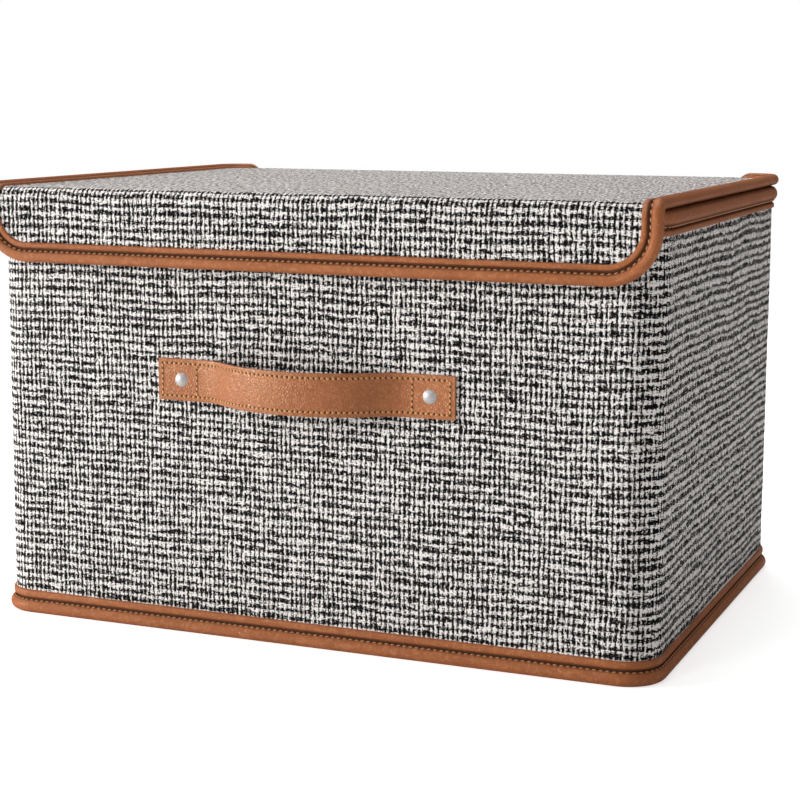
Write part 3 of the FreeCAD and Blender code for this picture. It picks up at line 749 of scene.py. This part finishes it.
# An oval of few faces: long along x, lying against a wall (side "out") or on a level sheet (side "up")
def makeOval(name, size, slant, place, side):
    oval = addShape(
        bpy.ops.mesh.primitive_uv_sphere_add, name, tilt=(0, 90, 0), segments=6, ring_count=4, radius=0.5
    )
    along, across, high = size
    oval.scale = (along, high, across) if side == "out" else size
    oval.rotation_euler = (0, math.radians(slant), 0) if side == "out" else (0, 0, math.radians(slant))
    oval.location = place
    settle(oval)
    return oval


# One thread oval and its needle hole, a dark oval of painted shade, repeated along a plan path. side "out" faces right
# of the path, "up" faces +z
def stitchRow(name, points, level, side, slant=None, look=stitch):
    points = [Vector((p[0], p[1], 0)) for p in points]
    length = sum((after - before).length for before, after in zip(points, points[1:]))
    count = max(1, int(length / look["pitch"] + 0.5))
    pitch = length / count
    slant = look["slant"] if slant is None else slant
    oval = makeOval(name, (look["length"], look["width"], look["height"]), slant, (pitch / 2, 0, level), side)
    sink = look["height"] * needle["sink"]
    holeSpot = (0, sink, level) if side == "out" else (0, 0, level - sink)
    # the sunk dark oval is painted shade in place of the hole
    holeSize = (look["hole"], look["hole"] * needle["narrow"], needle["depth"])
    hole = makeOval("hole", holeSize, slant, holeSpot, side)
    for part in (oval, hole):
        part.data.materials.append(look["thread"])
        part.data.materials.append(needleHoleShade)
    for polygon in hole.data.polygons:
        polygon.material_index = 1
    pick(oval)
    hole.select_set(True)
    bpy.ops.object.join()
    row = oval.modifiers.new("row", "ARRAY")
    row.count = count
    row.use_relative_offset = False
    row.use_constant_offset = True
    row.constant_offset_displace = (pitch, 0, 0)
    applyModifiers(oval)
    guide = guideCurve(points)
    bend = oval.modifiers.new("bend", "CURVE")
    bend.object = guide
    bend.deform_axis = "POS_X"
    applyModifiers(oval)
    bpy.data.objects.remove(guide)
    smooth(oval, 60)
    return oval


def finishStitches(piece, body=None):
    if body:
        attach(piece, body)
    return piece


# Piping round the rim and the foot

# Moves and shrinks of the end that is tucked into the hinge seam
tuck = [((-0.0025, 0, -0.0004), 0.88), ((-0.0022, 0, -0.0006), 0.74), ((-0.0018, 0, -0.0006), 0.55)]


# Strip and cord of one length of piping. place puts a spot of the section at the start of the way; what is made
# on the right gets a twin on the left
def makePiping(name, node, body, bead, section, place, steps, tail=(), rear=None, bothHalves=False, twins=False):
    outline, depth = section
    radius = bead["radius"] - box["leather"] - box["cordGap"]
    circle = arcPoints((bead["shift"], 0), radius, 0, math.tau, 16)[:-1]
    side, sideNode = ("Right", "_right") if twins else ("", "")
    made = []
    for kind, spots, groove, ending, material, slot in (
        ("Binding", outline, depth, tail, leather, "leatherette"), ("Cord", circle, None, (), cordCotton, "cord"),
    ):
        kindNode = node + "_" + kind.lower()
        start = [place(*spot) for spot in spots]
        piece = sweep(name + kind + side, start, steps, groove, ending, rear, bothHalves)
        if twins:
            twin = mirrored(piece, name + kind + "Left")
            made.append(finishPiece(twin, material, slot, body, kindNode + "_left"))
        made.append(finishPiece(piece, material, slot, body, kindNode + sideNode))
    return made


def makeRing(name, node, section, bead, sign, endX, tail):
    makePiping(
        name, node, "box", bead, section,
        lambda out, along: (0, -box["halfDepth"] - out, bead["level"] + along * sign),
        halfRingSteps(endX), tail, (endX, box["halfDepth"] + bead["shift"], bead["level"]), True,
    )


# Where the stitches lie, measured from the middle of the bead: against the bead's foot
def seamMiddle(bead):
    return beadFoot(bead) - stitch["near"]


makeRing("rim", "rim", edgeSection(rim), rim, 1, rim["tuckX"], tuck)
makeRing("foot", "base", footSection(), foot, -1, 0.0, ())

rowOut = box["grooveLeather"] + stitch["rise"]
rowEndX = rim["tuckX"] - 0.001
rimRow = ringPath(rowOut, rowEndX)
footRow = ringPath(rowOut, 0.0)
insideRow = ringPath(-box["wall"] - stitch["innerRise"], rowEndX)
rimSeam, footSeam = rim["level"] - seamMiddle(rim), foot["level"] + seamMiddle(foot)
finishStitches(stitchRow("rimStitches", rimRow, rimSeam, "out"), "box")
finishStitches(stitchRow("footStitches", footRow, footSeam, "out", -9), "box")
finishStitches(stitchRow("rimInnerStitches", insideRow, rimSeam, "out"), "box")
print("stage: rim and foot piping")


# Piping on the lid: each side, round the rear corner into the hinge seam

def lidSpot(out, along):
    return (lid["beadX"] + along, flap["creaseY"], lid["top"] + out)


def makeLidSides():
    flatX, flatY = lid["beadX"] - lid["corner"], lid["hingeY"] - lid["corner"]
    steps = [
        run((0, flatY - flap["creaseY"], 0)), turn((flatX, flatY, 0), (0, 0, 1), 90),
        run((lid["tuckX"] - flatX, 0, 0)),
    ]
    rear = (lid["tuckX"], lid["hingeY"], lid["level"])
    makePiping("lid", "lid", "lid", lid, edgeSection(lid), lidSpot, steps, tuck, rear, twins=True)
    first = flap["creaseY"] + lid["rowGap"]
    steps[0] = run((0, flatY - first, 0))
    path = pathPoints((lid["beadX"] - seamMiddle(lid), first, 0), steps)
    for name, level in (("lidStitches", lid["top"] + rowOut), ("lidInnerStitches", lid["under"] - stitch["innerRise"])):
        row = stitchRow(name + "Right", path, level, "up")
        finishStitches(mirrored(row, name + "Left"), "lid")
        finishStitches(row, "lid")


makeLidSides()


# The quarter turn of piping between the lid's side and the flap's side

def bendWithFlap(piece):
    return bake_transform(piece)


def makeCreaseSides():
    pivot = (0, flap["creaseY"], flap["creaseZ"])
    steps = [turn(pivot, (1, 0, 0), 90, 14), run((0, 0, flap["topZ"] - flap["creaseZ"]))]
    for piece in makePiping("crease", "crease", None, lid, edgeSection(lid), lidSpot, steps, twins=True):
        bendWithFlap(piece)
    reach = lid["top"] + rowOut - flap["creaseZ"]
    arc = arcPoints((0, 0), reach, math.pi / 2, 0, 12)
    row = stitchRow("creaseStitchesRight", arc, 0.0, "out")
    # plan x becomes forward (-y), plan y becomes height, plan z becomes -x
    row.matrix_world = Matrix((
        (0, 0, -1, lid["beadX"] - seamMiddle(lid)), (-1, 0, 0, flap["creaseY"]),
        (0, 1, 0, flap["creaseZ"]), (0, 0, 0, 1),
    ))
    settle(row)
    for piece in (mirrored(row, "creaseStitchesLeft"), row):
        bendWithFlap(finishStitches(piece))


makeCreaseSides()


# Piping down one side of the flap, along its lower edge and up the other

def makeFlapPiping():
    flatX, flatZ = lid["beadX"] - flap["corner"], flap["beadZ"] + flap["corner"]
    side = flap["topZ"] - flatZ
    steps = [
        run((0, 0, -side)), turn((-flatX, 0, flatZ), (0, -1, 0), 90, 14),
        run((2 * flatX, 0, 0)), turn((flatX, 0, flatZ), (0, -1, 0), 90, 14),
        run((0, 0, side)),
    ]
    makePiping(
        "flap", "flap", "flap", lid, edgeSection(lid),
        lambda out, along: (-lid["beadX"] - along, flap["faceY"] - out, flap["topZ"]), steps,
    )
    path = pathPoints((seamMiddle(lid) - lid["beadX"], 0, flap["topZ"]), steps)
    plan = [(point.x, point.z, 0) for point in path]
    plan[0] = (plan[0][0], flap["topZ"] - lid["rowGap"], 0)
    for name, out in (("flapStitches", rowOut), ("flapInnerStitches", -box["wall"] - stitch["innerRise"])):
        finishStitches(standUp(stitchRow(name, plan, out - flap["faceY"], "up")), "flap")


makeFlapPiping()
print("stage: lid, crease and flap piping")


# Cloth and lining sheets

def ringPlace(halfX, halfY, corner):
    flatX, flatY = halfX - corner, halfY - corner
    bend = corner * math.pi / 2

    def place(spot, centre):
        x, y = abs(spot.x), spot.y
        if y < -flatY and x <= flatX:
            length = x
        elif y < -flatY:
            length = flatX + corner * math.atan2(x - flatX, -(y + flatY))
        elif y <= flatY and x > flatX:
            length = flatX + bend + y + flatY
        elif x > flatX:
            length = flatX + bend + 2 * flatY + corner * math.atan2(y - flatY, x - flatX)
        else:
            length = flatX + 2 * bend + 2 * flatY + flatX - x
        return (length if centre.x >= 0 else -length, spot.z)

    return place


# A sleeve round the four walls with a tab at the rear: a box without ends, its edges rounded
def wallSleeve(name, inset, thickness, wave):
    halfX, halfY = box["halfWidth"] - inset, box["halfDepth"] - inset
    low, high, tabX = box["wallFoot"], box["wallTop"], sheets["tabX"]
    sleeve = addShape(
        bpy.ops.mesh.primitive_cube_add, name, (2 * halfX, 2 * halfY, high - low), (0, 0, (low + high) / 2), size=1
    )
    mesh = sleeve.data
    choose(sleeve, "FACE", lambda face: abs(face.normal.z) > 0.5)
    bpy.ops.mesh.delete(type="ONLY_FACE")
    choose(sleeve, "EDGE", lambda edge: isUpright(mesh, edge))
    bpy.ops.mesh.bevel(offset=box["corner"] - inset, segments=12, profile=0.5, affect="EDGES")
    cutGrid(sheets["grid"], 14, 10)
    for x in (-tabX, tabX):
        cutThrough((x, 0, 0), (1, 0, 0))
    for step in range(1, 19):
        cutThrough((0, 0, low + (high - low) * step / 19), (0, 0, 1))
    choose(sleeve, "EDGE", lambda edge: all(
        p.y > halfY - 1e-5 and p.z > high - 1e-5 and abs(p.x) < tabX + 1e-5 for p in edgeSpots(mesh, edge)
    ))
    extrude((0, 0, box["rimTop"] - high))
    backToObject()
    tidyMesh(sleeve)
    if wave:
        ripple(sleeve, wave, 0.05, 0.35)
    thicken(sleeve, thickness)
    smooth(sleeve)
    return sleeve


# A flat sheet in plan with rounded corners, cut into a grid so that it can ripple
def flatSheet(name, halfX, lowY, highY, level, thickness, lowCorner, highCorner, wave=0.0, grid=None):
    grid = grid or sheets["grid"]
    middle = (lowY + highY) / 2
    sheet = addShape(
        bpy.ops.mesh.primitive_plane_add, name, (2 * halfX, highY - lowY, 1), (0, middle, level), size=1
    )
    for endY, corner in ((lowY, lowCorner), (highY, highCorner)):
        if corner > 0:
            choose(sheet, "VERT", lambda vertex: abs(abs(vertex.co.x) - halfX) + abs(vertex.co.y - endY) < 1e-5)
            bpy.ops.mesh.bevel(offset=corner, segments=10, profile=0.5, affect="VERTICES")
            backToObject()
    editAll(sheet)
    cutGrid(grid, int(halfX / grid), int((highY - lowY) / 2 / grid), middle)
    backToObject()
    if wave:
        # the ripple fades out over the last 20 mm to the seams
        def hold(spot):
            rim = min(halfX - abs(spot.x), spot.y - lowY, highY - spot.y)
            return max(0.0, min(1.0, rim / 0.02))

        ripple(sheet, wave, 0.06, 0.3, hold)
    thicken(sheet, thickness)
    smooth(sheet)
    return sheet


def planPlace(spot, centre):
    return (spot.x, spot.y)


def finishSheet(piece, material, slot, body, node, flat, boards, place=None, **size):
    if place:
        setWeaveMap(piece, place)
    finishPiece(piece, material, slot, body, node)


sheets = {"bodyWave": 0.0006, "lidWave": 0.0004, "flapWave": 0.0004, "tabX": 0.1757, "grid": 0.0125, "flapGrid": 0.008}
wallBoards = ["front_board", "back_board", "left_board", "right_board"]
bodyCloth = wallSleeve("bodyTweed", 0.0, box["cloth"], sheets["bodyWave"])
bodyPlace = ringPlace(box["halfWidth"], box["halfDepth"], box["corner"])
setWeft(bodyCloth, lambda spot: min(1.0, max(0.0, (abs(spot.x) - box["halfWidth"]) / (box["corner"] * 0.5) + 1.1)))
finishSheet(bodyCloth, tweed, "tweed", "box", "body_fabric", (1.3657, 0.2345), wallBoards, bodyPlace)
inset = box["cloth"] + box["board"]
bodyLining = wallSleeve("bodyLining", inset, box["lining"], 0.0)
liningPlace = ringPlace(box["halfWidth"] - inset, box["halfDepth"] - inset, box["corner"] - inset)
finishSheet(bodyLining, lining, "lining", "box", "body_lining", (1.347, 0.2345), wallBoards, liningPlace)
print("stage: wall cloth and lining")


def planSheet(name, inset, level, thickness):
    halfX, halfY, corner = box["halfWidth"] - inset, box["halfDepth"] - inset, box["corner"] - inset
    return flatSheet(name, halfX, -halfY, halfY, level, thickness, corner, corner)


floorLining = planSheet("floorLining", box["wall"], box["floorLining"], box["lining"])
finishSheet(floorLining, lining, "lining", "box", "floor_lining", (0.3924, 0.2924), ["bottom_board"], planPlace)
inset = foot["flange"] - foot["shift"]
underCloth = planSheet("underTweed", inset, box["underCloth"], box["cloth"])
finishSheet(underCloth, tweed, "tweed", "box", "base_fabric", (0.3772, 0.2772), ["bottom_board"], planPlace)

weaveStart = 0.0036  # puts a white crosswise yarn on the crease
seamX, seamY = lid["beadX"] - lid["edge"], lid["hingeY"] - lid["edge"]
flangeX, flangeY = lid["beadX"] - lid["flange"], lid["hingeY"] - lid["flange"]
lidCloth = flatSheet("lidTweed", seamX, flap["creaseY"], seamY, lid["top"], box["cloth"], 0.0,
                     lid["corner"] - lid["edge"], sheets["lidWave"])
setWeft(lidCloth, lambda spot: 0.1)
finishSheet(lidCloth, lidTweed, "tweed", "lid", "lid_fabric", (0.3934, 0.2991), ["lid_board"],
            lambda spot, centre: (spot.x, spot.y - flap["creaseY"] + weaveStart))

# The lid's lining ends at the rear before the hinge cloth
lidLining = flatSheet("lidLining", flangeX, flap["creaseY"], flangeY, lid["under"] + box["lining"], box["lining"],
                      0.0, 0.002)
finishSheet(lidLining, lining, "lining", "lid", "lid_lining", (0.3746, 0.2897), ["lid_board"], planPlace)

flapCloth = flatSheet("flapTweed", seamX, flap["beadZ"] + lid["edge"], flap["topZ"], -flap["faceY"], box["cloth"],
                      flap["corner"] - lid["edge"], 0.0, sheets["flapWave"], sheets["flapGrid"])
standUp(flapCloth)
creaseArc = flap["bend"] * math.pi / 2
finishSheet(flapCloth, tweed, "tweed", "flap", "flap_fabric", (0.3934, 0.0304), ["flap_board"],
            lambda spot, centre: (spot.x, weaveStart - creaseArc - (flap["creaseZ"] - spot.z)))
flapLining = flatSheet("flapLining", flangeX, flap["beadZ"] + lid["flange"], flap["topZ"],
                       -flap["faceY"] - box["cloth"] - box["board"], box["lining"],
                       flap["corner"] - lid["flange"], 0.0, 0.0, sheets["flapGrid"])
standUp(flapLining)
finishSheet(flapLining, lining, "lining", "flap", "flap_lining", (0.3746, 0.021), ["flap_board"],
            lambda spot, centre: (spot.x, spot.z))
print("stage: lid and flap sheets")


# The soft folds: a strip's section swung round the crease, and the cloth hinge at the rear

def addSection(name, halfX, thickness, place, tilt=(0, 0, 0)):
    return addShape(
        bpy.ops.mesh.primitive_grid_add, name, (2 * halfX, thickness, 1), place, tilt,
        x_subdivisions=32, y_subdivisions=1, size=1,
    )


def creaseSheet(name, halfX, outer, thickness):
    level = flap["creaseZ"] + outer - thickness / 2
    sheet = addSection(name, halfX, thickness, (0, flap["creaseY"], level), (90, 0, 0))
    editAll(sheet)
    bpy.ops.mesh.spin(steps=14, angle=math.radians(-90), center=(0, flap["creaseY"], flap["creaseZ"]), axis=(1, 0, 0))
    extrude((0, 0, flap["topZ"] - flap["creaseZ"]))
    backToObject()
    closeEnds(sheet)

    def place(spot, centre):
        angle = math.atan2(flap["creaseY"] - spot.y, spot.z - flap["creaseZ"])
        return (spot.x, weaveStart - outer * angle)

    setWeaveMap(sheet, place)
    return sheet


creaseBoards = ["lid_board", "flap_board"]
creaseCloth = creaseSheet("creaseTweed", seamX, flap["bend"], box["cloth"])
setWeft(creaseCloth, lambda spot: 0.0)
finishSheet(creaseCloth, tweed, "tweed", None, "crease_fabric", (0.3934, 0.0102), creaseBoards)
creaseLining = creaseSheet("creaseLining", flangeX, flap["bend"] - box["cloth"] - box["board"], box["lining"])
finishSheet(creaseLining, lining, "lining", None, "crease_lining", (0.3746, 0.0101), creaseBoards, area=0.0022)
bendWithFlap(creaseCloth)
bendWithFlap(creaseLining)


hinge = {"halfX": 0.1810, "wallHalfX": 0.1757, "lowZ": 0.2273, "outerY": 0.1510, "innerY": 0.1500, "bend": 0.0026,
         "lap": 0.0004, "weaveShift": 0.05}


# Runs up the back wall and turns forward on to the lid's rear edge
def makeHingeCloth():
    outer, inner, bend = hinge["outerY"], hinge["innerY"], hinge["bend"]
    bendZ = lid["top"] - bend
    cloth = addSection("hingeTweed", hinge["wallHalfX"], outer - inner, (0, (outer + inner) / 2, hinge["lowZ"]))
    editAll(cloth)
    extrude((0, 0, lid["under"] - hinge["lowZ"]))
    bpy.ops.transform.resize(value=(hinge["halfX"] / hinge["wallHalfX"], 1, 1), center_override=(0, 0, 0))
    extrude((0, 0, bendZ - lid["under"]))
    bpy.ops.mesh.spin(steps=8, angle=math.radians(-90), center=(0, outer - bend, bendZ), axis=(1, 0, 0))
    extrude((0, seamY + bend - outer - hinge["lap"], 0))
    backToObject()
    tidyMesh(cloth)
    smooth(cloth)
    return cloth


hingeCloth = makeHingeCloth()
finishSheet(hingeCloth, tweed, "tweed", None, "hinge_strip", (0.362, 0.031), ["back_board", "lid_board"],
            lambda spot, centre: (spot.x, spot.z - hinge["weaveShift"] + (hinge["outerY"] - spot.y)))
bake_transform(hingeCloth)
print("stage: crease and hinge cloth")


# Strap handle: two layers swept along the pads and the arch

strap = {
    "halfLength": 0.090, "rootX": 0.066, "rootRadius": 0.035, "crownRadius": 0.075, "crownY": -0.097,
    "level": 0.1475, "halfWidth": 0.012, "lining": 0.0009, "outer": 0.0020, "stitchIn": 0.0027, "crossX": 0.0655,
}
strapStitch = {"pitch": 0.0030, "length": 0.0022, "width": 0.0014, "height": 0.0010, "slant": 8, "rise": 0.0001,
               "hole": 0.0020, "thread": goldThread}


# The path at a distance off the wall, left to right; the arcs meet at x = 45 mm on the wall line
def strapSteps(reach):
    root = -box["halfDepth"] - strap["rootRadius"]
    angle = math.degrees(math.asin(strap["rootX"] / (strap["rootRadius"] + strap["crownRadius"])))
    pad = run((reach - strap["rootX"], 0, 0), 0.004)
    return [
        pad, turn((-strap["rootX"], root, 0), (0, 0, 1), -angle, 10),
        turn((0, strap["crownY"], 0), (0, 0, 1), 2 * angle, 36),
        turn((strap["rootX"], root, 0), (0, 0, 1), -angle, 10), pad,
    ]


def strapLayer(name, low, high, half, edge):
    inner, outer, top = low + edge, high - edge, half - edge
    outline = []
    for quarter, centre in enumerate(((inner, top), (inner, -top), (outer, -top), (outer, top)), 1):
        for out, across in arcPoints(centre, edge, quarter * math.pi / 2, (quarter + 1) * math.pi / 2, 4):
            outline.append((-strap["halfLength"], -box["halfDepth"] - out, strap["level"] + across))
    return sweep(name, outline, strapSteps(strap["halfLength"]))


strapOuter = strapLayer("strapOuter", strap["lining"], strap["outer"], strap["halfWidth"], 0.0004)
strapInner = strapLayer("strapInner", 0.0, strap["lining"], strap["halfWidth"] - 0.0001, 0.0003)
finishPiece(strapOuter, strapLeather, "leatherette", "box", "handle_strap")
finishPiece(strapInner, strapBack, "leatherette", "box", "strap_lining")


def strapRows():
    out = box["halfDepth"] + strap["outer"] + strapStitch["rise"]
    reach = strap["halfLength"] - strap["stitchIn"]
    path = pathPoints((-reach, -out, 0), strapSteps(reach))
    edge = strap["halfWidth"] - strap["stitchIn"]
    rows = [
        stitchRow(name, path, strap["level"] + side * edge, "out", side * 9, strapStitch)
        for name, side in (("strapStitchesTop", 1), ("strapStitchesLow", -1))
    ]
    for name, x in (("padEndLeft", -reach), ("padCrossLeft", -strap["crossX"]),
                    ("padCrossRight", strap["crossX"]), ("padEndRight", reach)):
        line = [(x, strap["level"] - edge, 0), (x, strap["level"] + edge, 0)]
        rows.append(standUp(stitchRow(name, line, out, "up", None, strapStitch)))
    return rows


for row in strapRows():
    finishStitches(row, "box")
print("stage: strap handle")


# The loose base board's cover

insert = {"halfX": 0.1942, "halfY": 0.1442, "low": 0.0076, "high": 0.0108, "corner": 0.014, "soft": 0.0012}


def makeInsertCover():
    cover = addShape(
        bpy.ops.mesh.primitive_cube_add, "insertCover",
        (2 * insert["halfX"], 2 * insert["halfY"], insert["high"] - insert["low"]),
        (0, 0, (insert["low"] + insert["high"]) / 2), size=1,
    )
    mesh = cover.data
    for upright, size, segments in ((True, insert["corner"], 10), (False, insert["soft"], 4)):
        choose(cover, "EDGE", lambda edge: isUpright(mesh, edge) == upright)
        bpy.ops.mesh.bevel(offset=size, segments=segments, profile=0.5, affect="EDGES")
        backToObject()
    tidyMesh(cover)
    smooth(cover)
    return cover


finishSheet(makeInsertCover(), lining, "lining", "base_insert", "insert_cover", (0.3884, 0.2884), ["insert_board"],
            planPlace)
print("stage: loose base board")


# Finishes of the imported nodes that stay

for nodeName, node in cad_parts.items():
    isRivet = nodeName.startswith("rivet")
    if isRivet or nodeName.endswith("_board"):
        node.data.materials.clear()
        node.data.materials.append(nickel if isRivet else greyboard)


# Floor, background and lamps

studio = {"floor": 6.0, "floorWhite": 0.93, "lift": 0.64, "fadeFrom": 1.1, "fadeTo": 2.2, "ambient": 0.22,
          "mirrored": 0.03}


# 1 where the camera looks, also through something clear, and 0 for light that bounces
def lookingRays():
    rays = add("LightPath")
    return plus(rays.outputs["Is Camera Ray"], rays.outputs["Is Transmission Ray"], True)


def makeFloor():
    floor = addShape(
        bpy.ops.mesh.primitive_circle_add, "floor", place=(0, 0, -0.0002),
        vertices=64, radius=studio["floor"] / 2, fill_type="NGON",
    )
    material, shader = newMaterial("floorWhite")
    nodes = material.node_tree.nodes
    nodes.remove(shader)
    white = studio["floorWhite"]
    diffuse = add("BsdfDiffuse", Color=(white, white, white, 1)).outputs[0]
    lift = add("Emission", Color=(1, 1, 1, 1), Strength=studio["lift"]).outputs[0]
    both = add("AddShader", None, diffuse, lift).outputs[0]
    lit = add("MixShader", None, lookingRays(), diffuse, both).outputs[0]
    spot = add("TexCoord").outputs["Object"]
    reach = add("VectorMath", {"operation": "LENGTH"}, spot).outputs["Value"]
    fade = spread(reach, studio["fadeFrom"], studio["fadeTo"])
    clear = add("BsdfTransparent").outputs[0]
    edge = add("MixShader", None, fade, lit, clear).outputs[0]
    plug(edge, nodes["Material Output"].inputs["Surface"])
    floor.data.materials.append(material)


def makeWorld():
    world = bpy.data.worlds.new("studio")
    bpy.context.scene.world = world
    world.use_nodes = True
    current["tree"] = world.node_tree
    strength = spread(lookingRays(), 0.0, 1.0, studio["ambient"], 1.0, False)
    mirrored = times(add("LightPath").outputs["Is Glossy Ray"], studio["mirrored"])
    strength = plus(strength, mirrored)
    fill(world.node_tree.nodes["Background"], Color=(1, 1, 1, 1), Strength=strength)


lamps = [
    {"name": "key", "place": (-2.35, -1.5, 0.48), "size": 0.8, "power": 68.0},
    {"name": "glint", "place": (-0.6, -1.9, 1.6), "size": 0.5, "power": 6.0},
    {"name": "fill", "place": (2.2, -2.0, 1.2), "size": 1.6, "power": 8.0},
    {"name": "top", "place": (-0.5, 0.6, 2.2), "size": 1.6, "power": 36.0},
]


def makeLamps():
    for lamp in lamps:
        clearPicks()
        bpy.ops.object.light_add(type="AREA", location=lamp["place"])
        light = nameIt(bpy.context.object, lamp["name"])
        light.data.size = lamp["size"]
        light.data.energy = lamp["power"]
        aim = Vector((0, 0, 0.12)) - Vector(lamp["place"])
        light.rotation_euler = aim.to_track_quat("-Z", "Y").to_euler()


makeFloor()
makeWorld()
makeLamps()
bpy.context.scene.view_settings.view_transform = "Standard"
print("stage: floor and lamps")
